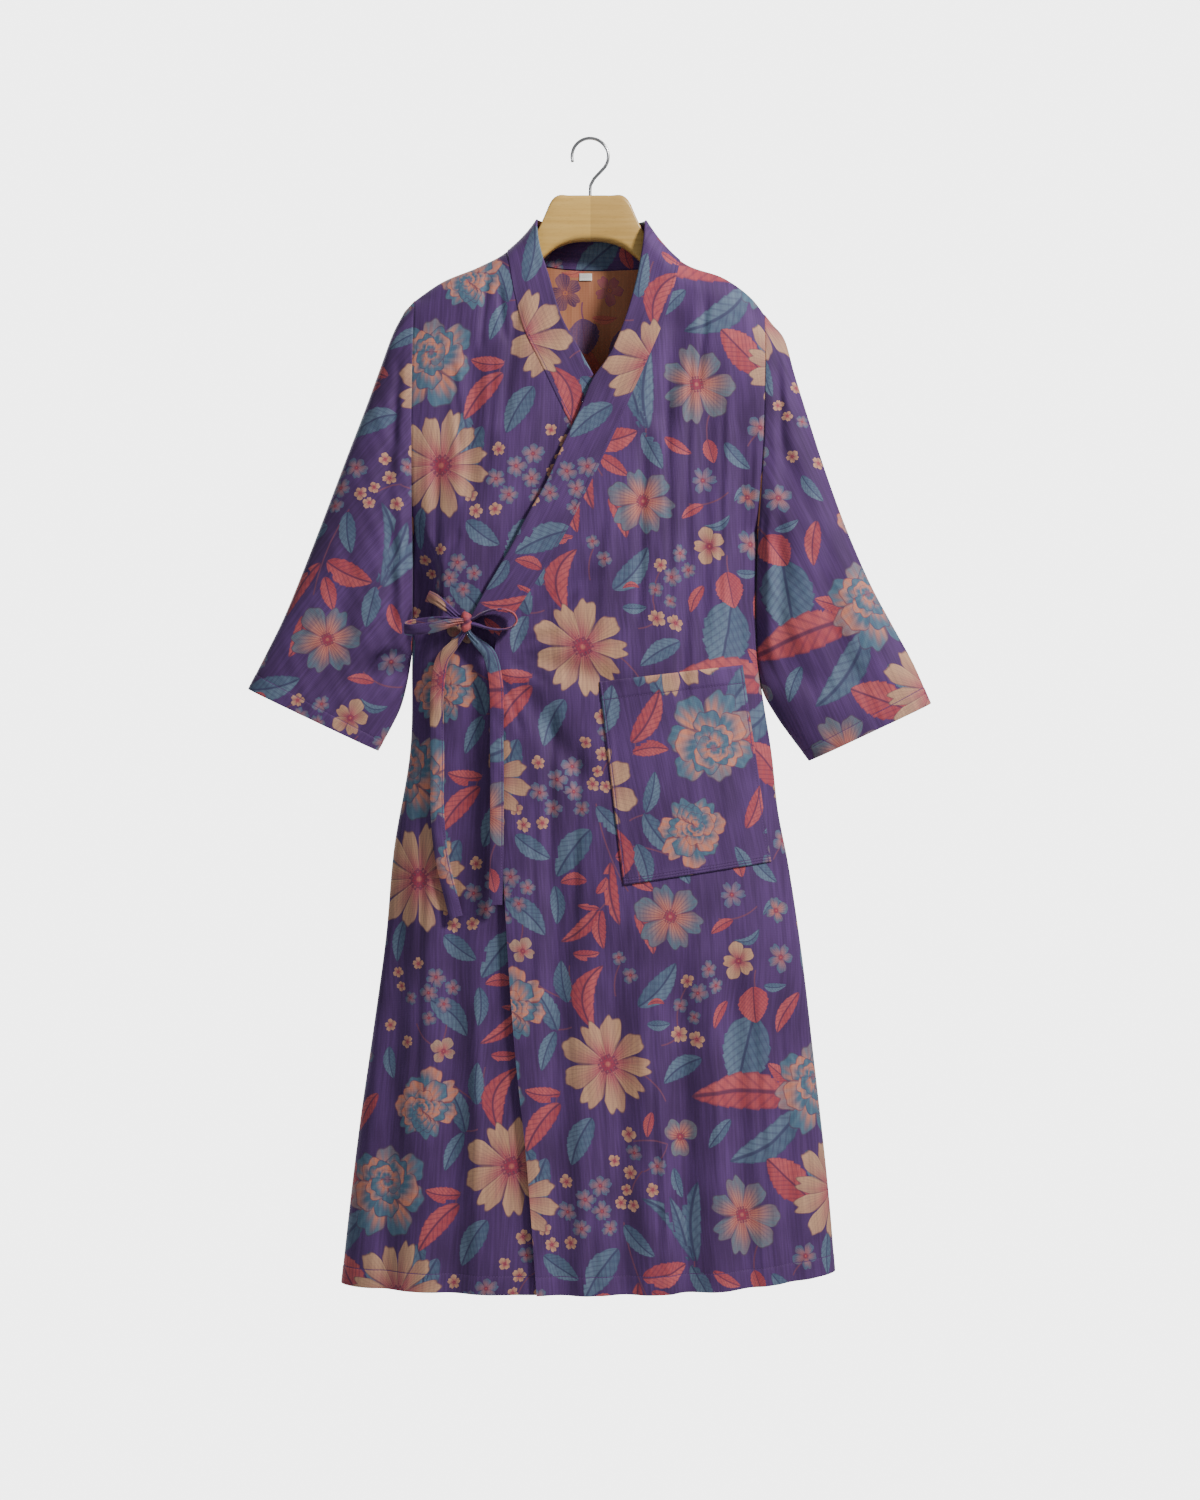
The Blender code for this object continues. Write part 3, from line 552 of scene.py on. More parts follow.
def inside(outer, phi, z, place):
    """The inner face of a panel, kept on its own side of the seams."""
    inner = outer - GAUZE * body_normal(phi, z, place)
    near_side = np.abs(np.sin(phi)) > NEAR_SIDE
    held = np.sign(inner[..., 0]) * np.minimum(np.abs(inner[..., 0]), np.abs(outer[..., 0]))
    inner[..., 0] = np.where(near_side, held, inner[..., 0])
    keep_side(inner, 1 if place == "back" else -1)
    return inner


def marked(marks, step):
    """Places from the first mark to the last, with one at each mark and none further apart."""
    places = [marks[0]]
    for a, b in zip(marks, marks[1:]):
        count = max(1, math.ceil((b - a) / step))
        places += [a + (b - a) * k / count for k in range(1, count + 1)]
    return np.array(places)


HEM_TURNED = 20
HEM_MARKS = [0, 0.25, 0.8, 2, 18.6, 19.4, HEM_TURNED, 20.6, 21.4]
STITCH_GROOVE = 0.5
STITCH_WIDTH = 0.55
FOLDED_EDGE = 0.8
HEM_STEP = 0.9
HEM_OUT = 0.3
HEM_IN = 0.6
EDGE_OUT = 0.9
EDGE_IN = 0.7
PANEL_STEP = 5.6
SHOULDER_ROWS = 16
SHARP_EDGE = 50


def panel_heights(neck):
    """Heights of a panel's rows, from the hem to the shoulder seam."""
    turns = np.radians(np.linspace(90, 0, SHOULDER_ROWS))
    return np.concatenate([
        marked([HEM_REFERENCE + mark for mark in HEM_MARKS] + [neck - SHOULDER_ROUND], PANEL_STEP)[:-1],
        neck - SHOULDER_ROUND * (1 - np.cos(turns)),
    ])


def turned_up(outer, inner, normal, distance):
    """A hem: the edge is folded, the cloth behind it is double, and a row of stitches holds it."""
    step = 1 - smooth((distance - HEM_TURNED) / HEM_STEP)
    stitched = bell((distance - HEM_TURNED) / STITCH_WIDTH)
    fold = 1 - rounded(distance / FOLDED_EDGE)
    outer = outer + normal * (HEM_OUT * step - STITCH_GROOVE * stitched - EDGE_OUT * fold)[..., None]
    inner = inner - normal * (HEM_IN * step - EDGE_IN * fold)[..., None]
    return outer, inner


def lengths(points, axis):
    """How far each point lies along its row or column, in millimetres."""
    steps = np.linalg.norm(np.diff(points, axis=axis), axis=-1)
    first = np.zeros_like(np.take(steps, [0], axis=axis))
    return np.concatenate([first, np.cumsum(steps, axis=axis)], axis=axis)


def cloth(name, outer, inner, flat, closed=False, folded=False, stitches=None):
    """A closed wall of cloth between two grids. flat is where each point was cut from the
    printed length; a tube has one more column there, past its seam. A folded strip shows its
    right side on both faces. stitches is how far each point is along and away from a seam."""
    rows, columns = outer.shape[:2]
    count = rows * columns
    at = np.arange(count).reshape(rows, columns)
    if closed:
        at = np.concatenate([at, at[:, :1]], axis=1)
    r, c = np.meshgrid(np.arange(rows - 1), np.arange(at.shape[1] - 1), indexing="ij")
    r, c = r.ravel(), c.ravel()
    ring = [(r, c), (r, c + 1), (r + 1, c + 1), (r + 1, c)]
    shown, hidden = outer.reshape(-1, 3), inner.reshape(-1, 3)
    a, b, c, d = [shown[at[corner]] for corner in ring]
    outwards = (np.cross(c - a, d - b) * (a - hidden[at[ring[0]]])).sum() > 0

    if stitches is None:
        stitches = np.full(flat.shape, FAR)
    faces, places, sewn, skins = [], [], [], []

    def add(corners, offsets, skin):
        faces.append(np.stack([at[k] + o for k, o in zip(corners, offsets)], axis=1))
        places.append(np.stack([flat[k] for k in corners], axis=1))
        sewn.append(np.stack([stitches[k] for k in corners], axis=1))
        skins.append(np.full(len(corners[0][0]), skin))

    add(ring, (0, 0, 0, 0), 0)
    add(ring[::-1], (count,) * 4, 0 if folded else 1)
    c = np.arange(at.shape[1] - 1)
    for row, near, far in ((0, c + 1, c), (rows - 1, c, c + 1)):
        row = np.full(len(c), row)
        add([(row, near), (row, far), (row, far), (row, near)], (0, 0, count, count), 0)
    if not closed:
        r = np.arange(rows - 1)
        for column, near, far in ((0, r, r + 1), (columns - 1, r + 1, r)):
            column = np.full(len(r), column)
            add([(near, column), (far, column), (far, column), (near, column)], (0, 0, count, count), 0)
    faces, places, sewn, skins = [np.concatenate(part) for part in (faces, places, sewn, skins)]
    if not outwards:
        faces, places, sewn = faces[:, ::-1], places[:, ::-1], sewn[:, ::-1]

    mesh = bpy.data.meshes.new(name)
    points = np.concatenate([shown, hidden]) * MM
    mesh.from_pydata(points.tolist(), [], faces.tolist())
    mesh.materials.append(outside_print)
    mesh.materials.append(inside_print)
    mesh.polygons.foreach_set("material_index", skins.astype(np.int32))
    lay_print(mesh, places)
    keep(mesh, "stitch", np.concatenate([sewn, np.zeros(sewn.shape[:2] + (1,))], axis=-1))
    mesh.shade_smooth()
    mesh.set_sharp_from_angle(angle=math.radians(SHARP_EDGE))
    mesh.update()
    piece = bpy.data.objects.new(name, mesh)
    bpy.context.scene.collection.objects.link(piece)
    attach(piece, "root")
    return piece


# The print repeats every 387 mm across and 451 mm down: large open flowers and peonies, leaves
# in two colours, and sprays of small blossoms on thin stems. All places and sizes are in mm.
REPEAT = np.array([387.0, 451.0])

# Flowers: across, down, radius, petals, tone from cream at 0 to teal at 1 and slate at 2, gap
BLOOMS = [
    (103, 108, 58, 9, 0.0, 0.34), (180, 400, 40, 6, 1.0, 0.34), (249, 272, 45, 7, 0.95, 0.36),
    (253, 449, 22, 5, 0.0, 0.40), (302, 446, 19, 5, 1.5, 0.50), (250, 377, 16, 6, 1.8, 0.50),
    (318, 319, 17, 5, 1.5, 0.45), (182, 187, 25, 3, 0.9, 0.60), (369, 251, 62, 12, 0.05, 0.36),
    (15, 437, 16, 4, 0.3, 0.50), (300, 395, 17, 4, 1.2, 0.60),
]
# Small blossoms: across, down, radius, petals, tone
FLORETS = [
    (196, 19, 8.3, 5, 0), (187, 77, 10.2, 5, 0), (207, 82, 10.2, 5, 0), (120, 183, 9.3, 4, 0),
    (102, 212, 8.3, 4, 0), (119, 225, 8.6, 5, 0), (143, 242, 8.6, 5, 0), (113, 243, 7.4, 4, 0),
    (106, 257, 8.2, 5, 0), (120, 259, 7.6, 5, 0), (46, 234, 8.8, 5, 0), (18, 284, 8.6, 5, 0),
    (25, 301, 8.6, 5, 0), (46, 299, 8.6, 5, 0), (373, 343, 7.5, 5, 0), (346, 353, 7.2, 5, 0),
    (350, 368, 6.6, 5, 0), (335, 411, 7.6, 5, 0), (359, 428, 7.8, 5, 0), (7, 51, 9, 5, 0),
    (219, 6, 10.8, 5, 1.6), (208, 32, 12.3, 5, 1.6), (228, 24, 10.8, 5, 1.6), (189, 46, 9.9, 4, 1.6),
    (205, 58, 9.3, 4, 1.6), (133, 12, 10.5, 4, 1.6), (121, 444, 9.3, 4, 1.6), (125, 203, 10.5, 4, 1.6),
    (150, 217, 12, 5, 1.6), (66, 252, 13.5, 5, 1.6), (84, 238, 13.5, 5, 1.6), (45, 266, 12.3, 5, 1.6),
    (60, 283, 12.3, 5, 1.6), (84, 265, 13.0, 5, 1.6), (92, 284, 10.5, 5, 1.6), (7, 357, 12.5, 5, 1.6),
    (385, 374, 11.4, 5, 1.6), (25, 369, 10.4, 5, 1.6), (14, 386, 10.4, 5, 1.6), (384, 401, 9.3, 4, 1.6),
    (362, 380, 8.3, 4, 1.6),
]
# Rings of a peony's petals, from the outside in: size, petals, rise
PEONY_RINGS = [(1.0, 7, 0.0), (0.76, 5, 0.05), (0.54, 4, 0.11), (0.36, 3, 0.14), (0.19, 2, 0.16)]
# Peonies: across, down, radius
PEONIES = [(387, 43, 43), (346, 136, 56)]
# Leaves: across and down at the stalk, length, direction in degrees, width and bend as shares of
# the length. The directions run from across to down
BLUE_LEAVES = [
    (47, 73, 57, -117, 0.38, 0.06), (61, 42, 46, -95, 0.42, -0.05), (45, 73, 46, 114, 0.36, 0.05),
    (141, 46, 63, -48, 0.40, 0.08), (276, 57, 84, 107, 0.62, 0.0), (326, 159, 104, 148, 0.30, -0.10),
    (80, 165, 58, 118, 0.44, 0.06), (25, 208, 70, 102, 0.38, 0.08), (387, 382, 56, 43, 0.46, -0.08),
    (188, 321, 92, -130, 0.22, 0.14), (182, 321, 74, -105, 0.24, 0.06), (190, 321, 87, -84, 0.27, -0.08),
    (100, 306, 66, 129, 0.44, 0.05), (184, 325, 45, 63, 0.42, 0.0), (312, 388, 31, 157, 0.34, 0.20),
    (278, 415, 32, 160, 0.29, -0.22), (283, 25, 28, 0, 0.34, 0.10), (15, 312, 46, 34, 0.46, 0.05),
    (1, 193, 63, 79, 0.36, -0.06), (352, 296, 47, 99, 0.33, 0.05), (330, 205, 52, 60, 0.34, 0.08),
    (211, 102, 54, 150, 0.38, 0.06), (276, 336, 40, 45, 0.40, 0.06), (108, 281, 46, 45, 0.40, 0.05),
    (56, 367, 42, 92, 0.38, -0.05), (243, 169, 42, 135, 0.36, 0.06), (335, 434, 36, 75, 0.38, 0.06),
    (172, 220, 34, 75, 0.38, 0.06), (150, 65, 28, 0, 0.40, 0.06),
]
CORAL_LEAVES = [
    (87, 69, 70, -76, 0.36, -0.24), (120, 341, 69, 86, 0.26, 0.08), (104, 390, 60, 141, 0.26, -0.08),
    (106, 392, 43, 91, 0.36, 0.10), (104, 391, 25, -173, 0.28, 0.0), (102, 375, 22, -55, 0.40, 0.08),
    (142, 397, 47, 69, 0.36, -0.10), (326, 146, 130, -179, 0.30, 0.05), (316, 132, 36, -141, 0.44, 0.0),
    (329, 258, 66, -136, 0.58, 0.0), (46, 140, 40, -173, 0.42, -0.08), (45, 150, 66, 129, 0.35, 0.08),
    (125, 336, 55, -13, 0.46, 0.06), (134, 350, 38, 36, 0.42, 0.0), (257, 332, 27, 76, 0.56, 0.0),
    (271, 26, 40, 80, 0.80, 0.0), (171, 43, 20, 175, 0.30, 0.20), (93, 361, 31, 175, 0.44, 0.10),
    (328, 34, 50, 120, 0.34, 0.06), (208, 330, 36, 30, 0.36, 0.06), (71, 440, 30, -3, 0.38, 0.08),
    (244, 41, 34, 120, 0.36, 0.06), (249, 404, 30, 150, 0.36, 0.06), (148, 159, 28, 105, 0.40, 0.05),
]
# Stems: across and down at one end, length, direction, bend in mm
STEMS = [
    (165, 88, 24, -22, 2), (138, 116, 42, 49, -3), (165, 194, 40, -175, 3), (165, 194, 44, 138, -4),
    (133, 222, 28, 121, 2), (108, 279, 97, 73, 5), (195, 26, 47, 100, 4), (47, 71, 17, -10, 1),
    (116, 35, 34, -81, -3), (272, 8, 24, 82, 2), (233, 403, 46, -16, 5), (104, 392, 24, -56, 2),
    (46, 137, 20, 101, 3), (81, 43, 57, -158, -4), (66, 2, 25, 83, 2), (14, 390, 36, 91, -3),
    (369, 408, 32, 46, 3), (188, 321, 40, 75, 4), (257, 332, 40, -70, -4), (325, 320, 30, 140, 3),
]
FACE_REACH = 5.0
FLOWER_TURN = 0.4
PETAL_GAP = 0.34
LEAF_HALF = 0.56


def near_motifs(places, motifs, reaches):
    """For each face, the motif nearest to it within reach, and its corners' places from that
    motif's middle or stalk, along its direction and across it."""
    centre = places.mean(axis=1)
    nearest = np.ones(len(centre))
    which = np.full(len(centre), -1)
    found = np.full(places.shape, FAR)
    for number, (motif, (length, turn, reach)) in enumerate(zip(motifs, reaches)):
        ahead = np.array([math.cos(turn), math.sin(turn)])
        aside = np.array([-ahead[1], ahead[0]])
        middle = ahead * length / 2
        away = (centre - motif[:2] - middle + REPEAT / 2) % REPEAT - REPEAT / 2 + middle
        along, across = away @ ahead, away @ aside
        beyond = np.maximum(np.maximum(-along, along - length), 0)
        share = np.hypot(beyond, across) / (reach + FACE_REACH)
        closer = np.nonzero(share < nearest)[0]
        nearest[closer] = share[closer]
        which[closer] = number
        corners = places[closer] - centre[closer, None] + away[closer, None]
        found[closer] = np.stack([corners @ ahead, corners @ aside], axis=-1)
    return which, found


def keep(mesh, name, values):
    made = mesh.attributes.new(name, "FLOAT_VECTOR", "CORNER")
    made.data.foreach_set("vector", np.ascontiguousarray(values, np.float32).ravel())


def lay_motifs(mesh, places, name, motifs, reaches, kinds):
    """Keeps each face corner's place in the motif that covers it, as a share of the motif's
    size, with the motif's number and kind."""
    which, found = near_motifs(places, motifs, reaches)
    size = np.array([m[2] for m in motifs])[which][:, None, None]
    local = np.where((which < 0)[:, None, None], FAR, found / size)
    number = np.repeat((which + 1)[:, None, None], places.shape[1], axis=1)
    keep(mesh, name + "_at", np.concatenate([local, number], axis=-1))
    if kinds:
        keep(mesh, name + "_kind", np.repeat(np.array(kinds)[which][:, None], places.shape[1], axis=1))


def lay_print(mesh, places):
    """Gives every face corner its place in the motifs that cover it, for the materials to draw."""
    blank = np.zeros(places.shape[:2] + (1,))
    keep(mesh, "cloth", np.concatenate([places, blank], axis=-1))
    for name, motifs in (("bloom", BLOOMS), ("floret", FLORETS), ("peony", PEONIES)):
        reaches = [(0, FLOWER_TURN * m[0], m[2]) for m in motifs]
        kinds = [(*m[3:], PETAL_GAP)[:3] for m in motifs if len(m) > 3]
        lay_motifs(mesh, places, name, motifs, reaches, kinds)
    for name, motifs in (("blue_leaf", BLUE_LEAVES), ("coral_leaf", CORAL_LEAVES)):
        reaches = [(m[2], math.radians(m[3]), m[2] * (LEAF_HALF * m[4] + abs(m[5]))) for m in motifs]
        lay_motifs(mesh, places, name, motifs, reaches, [(m[4], m[5], 0) for m in motifs])
    reaches = [(m[2], math.radians(m[3]), abs(m[4]) + 1) for m in STEMS]
    which, found = near_motifs(places, STEMS, reaches)
    length, bend = [np.array([m[k] for m in STEMS])[which][:, None, None] for k in (2, 4)]
    along = np.concatenate([found[..., :1] / length, found[..., 1:]], axis=-1)
    local = np.where((which < 0)[:, None, None], FAR, along)
    keep(mesh, "stem_at", np.concatenate([local, bend + blank], axis=-1))


def spun(operation):
    """A step of arithmetic for Yarn, by the name that its node has."""
    return lambda self, *others: self.spin(operation, *others)


class Yarn:
    """One number in a material's nodes, so that the print can be written as arithmetic."""

    def __init__(self, tree, socket):
        self.tree = tree
        self.socket = socket

    def spin(self, operation, *others):
        values = [getattr(value, "socket", value) for value in (self, *others)]
        made = node(self.tree, "Math", dict(enumerate(values)), operation=operation)
        return Yarn(self.tree, made.outputs[0])

    __add__ = spun("ADD")
    __sub__ = spun("SUBTRACT")
    __mul__ = spun("MULTIPLY")
    __truediv__ = spun("DIVIDE")
    __pow__ = spun("POWER")
    size = spun("ABSOLUTE")
    whole = spun("FLOOR")
    part = spun("FRACT")
    wave = spun("SINE")

    def __rsub__(self, other):
        return (self * -1) + other

    def capped(self):
        return self.spin("MAXIMUM", 0.0).spin("MINIMUM", 1.0)

    def rises(self, low, high):
        """0 up to low and 1 from high on, or the other way where high is the smaller."""
        made = node(self.tree, "MapRange", {
            "Value": self.socket, "From Min": min(low, high), "From Max": max(low, high),
            "To Min": 0 if low < high else 1, "To Max": 1 if low < high else 0,
        }, interpolation_type="SMOOTHSTEP")
        return Yarn(self.tree, made.outputs[0])


def stored(tree, name):
    """The three numbers that each face corner keeps under a name."""
    kept = node(tree, "Attribute", {}, attribute_name=name)
    split = node(tree, "SeparateXYZ", {0: kept.outputs["Vector"]})
    return [Yarn(tree, out) for out in split.outputs]


def chances(first, second):
    """Three numbers between 0 and 1 that differ for each pair of whole numbers."""
    tree = first.tree
    join = node(tree, "CombineXYZ", {0: first.socket, 1: second.socket})
    noise = node(tree, "TexWhiteNoise", {"Vector": join.outputs[0]}, noise_dimensions="2D")
    split = node(tree, "SeparateColor", {0: noise.outputs["Color"]})
    return [Yarn(tree, out) for out in split.outputs]


def dyed(amount, under, over):
    """One colour over another, as far as amount says. Colours are sockets or three numbers."""
    under, over = [(*colour, 1) if isinstance(colour, tuple) else colour for colour in (under, over)]
    return mixed(amount.tree, amount.socket, under, over)


def layered(colour, dyes, *layers):
    """Further dyes over a colour, each as far as its amount says."""
    for amount, name in layers:
        colour = dyed(amount, colour, dyes[name])
    return colour


def petal_ring(x, y, seed, petals, gap):
    """Where a point lies in a ring of petals: how far out and how far across its petal, how far
    out that petal's edge is there, and three numbers that differ from petal to petal."""
    away = (x * x + y * y) ** 0.5
    turn = (y.spin("ARCTAN2", x) / (2 * math.pi) + 0.5) * petals
    which = turn.whole()
    length, lean, ripple = chances(which, seed)
    across = turn - which - 0.5 + (lean - 0.5) * 0.18
    edge = (length * 0.22 + 0.80) * (1 - (across * 2).size() ** 2.5 * gap)
    notch = (across * across * -190).spin("EXPONENT") * ripple * 0.08
    edge = edge - notch + (across * 17 + ripple * 6).wave() * 0.028
    return away, across, edge, (length, lean, ripple)


def open_flower(tree, layer, under, dyes):
    x, y, seed = stored(tree, layer + "_at")
    petals, tone, gap = stored(tree, layer + "_kind")
    seed = (seed + 0.5).whole()
    petals = (petals + 0.5).whole()
    away, across, edge, (length, lean, ripple) = petal_ring(x, y, seed, petals, gap)
    outward = away / edge
    tip, throat = [
        dyed((tone - 1).capped(), dyed(tone.capped(), dyes[pale], dyes[cool]), dyes[dusky])
        for pale, cool, dusky in (("cream", "teal", "slate"), ("rose", "peach", "slate light"))
    ]
    vein = ((across * 40 + ripple * 5).wave() * 0.5 + 0.5) ** 3
    border = across.size().rises(0.40, 0.52) * away.rises(0.18, 0.40)
    border = border.spin("MAXIMUM", (edge - away).rises(0.05, 0.01)) * 0.72
    streak = ((across * 26 + lean * 6).wave() * 0.5 + 0.5) ** 2 * away.rises(0.46, 0.12) * 0.8
    seeds = (x * 62).wave() * (y * 62).wave() * 0.06
    petal = dyed((outward + vein * 0.14 - tone * 0.10 + across * 0.3).rises(0.08, 0.86), throat, tip)
    petal = layered(
        petal, dyes,
        (vein * (1.15 - outward) * 0.70, "vein"),
        ((length * 0.35) * outward * (1 - (tone * 0.7).capped()), "light"),
        ((across + 0.5).rises(0.7, 0.0) * 0.30, "vein"),
        (border, "line"),
        (streak, "heart"),
        ((away + seeds).rises(0.17, 0.10), "heart"),
        ((away + seeds - 0.15).size().rises(0.04, 0.01) * 0.6, "line"),
        (away.rises(0.07, 0.02) * 0.6, "peach"),
    )
    return dyed((edge - away).rises(-0.008, 0.02), under, petal)


def peony(tree, under, dyes):
    """Five rings of petals, each smaller and a little higher than the one outside it."""
    x, y, seed = stored(tree, "peony_at")
    seed = (seed + 0.5).whole()
    for number, (size, petals, lift) in enumerate(PEONY_RINGS):
        ring_x, ring_y = x / size + 0.05 * number, (y + lift) / size
        away, across, edge, (_, lean, ripple) = petal_ring(
            ring_x, ring_y, seed + 7 * (number + 1), petals, 0.26
        )
        outward = away / edge
        vein = ((across * 26 + ripple * 5).wave() * 0.5 + 0.5) ** 2
        sweep = outward + ripple * 0.12 + across * 0.5 + vein * 0.10
        out_to_teal = dyed(sweep.rises(0.45, 1.0), dyes["peach"], dyes["teal"])
        out_to_peach = dyed(sweep.rises(0.62, 1.05), dyes["teal"], dyes["peach"])
        petal = dyed(lean.rises(0.45, 0.55), out_to_teal, out_to_peach)
        border = across.size().rises(0.42, 0.52).spin("MAXIMUM", (edge - away).rises(0.05, 0.012))
        petal = layered(
            petal, dyes, (vein * 0.30, "teal light"), (outward.rises(0.55, 0.2) * 0.45, "coral"),
            (border * 0.7, "line"),
        )
        under = dyed((edge - away).rises(-0.01, 0.025), under, petal)
    return under


def leaf(tree, layer, under, low, high, rib):
    x, y, _ = stored(tree, layer + "_at")
    width, bend, _ = stored(tree, layer + "_kind")
    along = x.capped()
    y = y - bend * along * (1 - along) * 4
    across = y.size()
    teeth = ((along - across * 0.6) * 7).part()
    half = ((along**0.85) * math.pi).wave() ** 0.72 * width * 0.55 * (1.03 - teeth * 0.10)
    shade = y.rises(-0.03, 0.03) * 0.4 + along * 0.35 + (along * 40 + across * 30).wave() * 0.1
    face = dyed(shade + 0.1, low, high)
    veins = ((along - across * 1.15) * 9).part()
    veins = veins.rises(0.34, 0.06).spin("MAXIMUM", veins.rises(0.84, 1.0)) * 0.34
    middle = across.rises(0.028, 0.008) * 0.8
    face = dyed(veins.spin("MAXIMUM", middle), face, rib)
    face = dyed((half - across).rises(0.03, 0.005) * 0.5, face, rib)
    return dyed((half - across).rises(0.0, 0.014), under, face)


def stem(tree, under, colour):
    x, y, bend = stored(tree, "stem_at")
    along = x.capped()
    away = (y - bend * along * (1 - along) * 4).size()
    return dyed(away.rises(1.1, 0.6) * (x - along).size().rises(0.02, 0.0), under, colour)


def grain(tree, place, across, down, detail):
    """Soft noise on the cloth's own grain, with its two lengths in millimetres."""
    join = node(tree, "CombineXYZ", {0: (place[0] / across).socket, 1: (place[1] / down).socket})
    noise = node(tree, "TexNoise", {"Vector": join.outputs[0], "Scale": 1, "Detail": detail})
    return Yarn(tree, noise.outputs["Fac"])


def printed_cloth(name, dyes):
    """Woven cotton gauze: a slubby ground, the woven print, painted shade along the rows of stitches, and
    the weave's own relief.
    """
    made, tree, shader = new_material(name, {
        "Roughness": 0.72, "Sheen Weight": 0.25, "Sheen Roughness": 0.4, "Specular IOR Level": 0.35,
    })
    place = stored(tree, "cloth")
    slub = grain(tree, place, 2.6, 60, 3)
    patch = grain(tree, place, 45, 90, 2)
    colour = dyed((slub * 0.40 + patch * 0.60).rises(0.25, 0.80), dyes["ground"], dyes["ground light"])
    colour = stem(tree, colour, dyes["stem"])
    colour = leaf(tree, "blue_leaf", colour, dyes["blue"], dyes["blue light"], dyes["rib"])
    colour = leaf(tree, "coral_leaf", colour, dyes["coral"], dyes["coral light"], dyes["line"])
    colour = open_flower(tree, "floret", colour, dyes)
    colour = peony(tree, colour, dyes)
    colour = open_flower(tree, "bloom", colour, dyes)
    weft = (place[1] * (2 * math.pi / 1.9)).wave() * 0.5 + 0.5
    warp = (place[0] * (2 * math.pi / 1.7)).wave() * 0.5 + 0.5
    thin = weft * warp * 0.22 + slub.rises(0.60, 0.40) * 0.16
    along, away, _ = stored(tree, "stitch")
    thread = away.rises(0.42, 0.26) * ((along / 3.1).part() - 0.5).size().rises(0.42, 0.36)
    # Painted shade: the ground is darkened in a band along each row of stitches, where its groove lies.
    painted_groove_shade = away.rises(0.7, 0.3) * 0.55
    colour = layered(colour, dyes, (thin, "ground"), (painted_groove_shade, "painted groove shade"), (thread, "thread"))
    feed(tree, shader, {"Base Color": colour})
    relief = slub * 0.35 + weft * 0.10 + warp * 0.10 + thread * 0.5
    emboss(tree, shader, relief.socket, 0.5, 0.0009)
    return made


def dye(red, green, blue):
    """A dye's colour from its place on a colour card that runs from 0 to 255."""
    return tuple(
        v / 12.92 if v <= 0.04045 else ((v + 0.055) / 1.055) ** 2.4
        for v in (red / 255, green / 255, blue / 255)
    )


# Each dye on the right side and on the wrong side
DYES = {
    "ground": ((64, 37, 84), (172, 108, 80)), "ground light": ((100, 66, 130), (200, 138, 102)),
    # The ground's darkest dye is painted shade along the rows of stitches.
    "cream": ((206, 158, 122), (72, 42, 90)), "painted groove shade": ((34, 18, 50), (100, 62, 42)),
    "thread": ((96, 62, 122), (96, 62, 122)), "light": ((224, 184, 150), (130, 90, 140)),
    "teal": ((78, 110, 134), (110, 70, 120)), "teal light": ((118, 146, 162), (150, 110, 140)),
    "slate": ((84, 102, 138), (206, 100, 92)), "slate light": ((118, 122, 152), (216, 120, 100)),
    "peach": ((218, 136, 110), (90, 54, 116)), "rose": ((196, 96, 104), (70, 40, 98)),
    "heart": ((160, 58, 80), (200, 120, 90)), "vein": ((136, 66, 86), (190, 130, 110)),
    "line": ((82, 44, 80), (88, 50, 104)), "coral": ((172, 66, 78), (84, 60, 110)),
    "coral light": ((208, 102, 102), (110, 84, 130)), "blue": ((74, 94, 122), (196, 98, 88)),
    "blue light": ((112, 134, 156), (216, 122, 104)), "rib": ((56, 58, 96), (150, 70, 84)),
    "stem": ((120, 68, 96), (120, 70, 110)),
}
outside_print, inside_print = [
    printed_cloth(name, {colour: dye(*sides[i]) for colour, sides in DYES.items()})
    for i, name in enumerate(("printed gauze", "gauze wrong side"))
]


def neck_seam(x):
    """Height of the seam where the collar band joins the back."""
    in_neck = (x > LEFT_NECK_X) & (x < RIGHT_NECK_X)
    return np.where(in_neck, curve_through(BACK_NECK, x), curve_through(SHOULDER_LINE, x))


def hang(phi, reference, top, seam, hem_column):
    """Heights of a panel's points once its top edge follows a seam and its lower end the hem."""
    z = reference.copy()
    at_top = smooth((reference - TOP_SHIFT_FROM) / (top - TOP_SHIFT_FROM))
    at_hem = 1 - smooth((reference - HEM_REFERENCE) / HEM_SHIFT_REACH)
    for _ in range(HANG_PASSES):
        middle, half = half_width(z)
        x = middle + half * np.sin(phi)
        hem = curve_through(HEM, x, hem_column) - HEM_REFERENCE
        z = reference + (seam(x) - top) * at_top + hem * at_hem
    return z


def back_grid(columns):
    top = float(neck_seam(np.array(0.0)))
    reference = np.repeat(panel_heights(top)[:, None], columns, axis=1)
    phi = np.repeat(np.radians(np.linspace(-90, 90, columns))[None, :], len(reference), axis=0)
    return phi, hang(phi, reference, top, neck_seam, 2), reference - HEM_REFERENCE


def hemmed_panel(name, phi, z, place, above_hem, flat):
    """A panel of the body, with its hem turned up and stitched."""
    outer = body(phi, z, place)
    inner = inside(outer, phi, z, place)
    outer, inner = turned_up(outer, inner, body_normal(phi, z, place), above_hem)
    for face in (outer, inner):
        keep_side(face, 1 if place == "back" else -1)
    stitches = joined(flat[..., 0], np.abs(above_hem - HEM_TURNED))
    return cloth(name, outer, inner, flat, stitches=stitches)


BACK_COLUMNS = 171
BACK_CUT = (280, 284)
phi, z, above_hem = back_grid(BACK_COLUMNS)
across = lengths(body(phi, z, "back"), 1)
across = across - across[:, BACK_COLUMNS // 2, None]
back = hemmed_panel("back_panel", phi, z, "back", above_hem, joined(BACK_CUT[0] + across, BACK_CUT[1] - z))
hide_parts("back")


# Fronts: two panels that cross over. The lower one is the wearer's right, and the tie holds its
# edge under the upper one. Both join the back along the shoulders and down the sides.

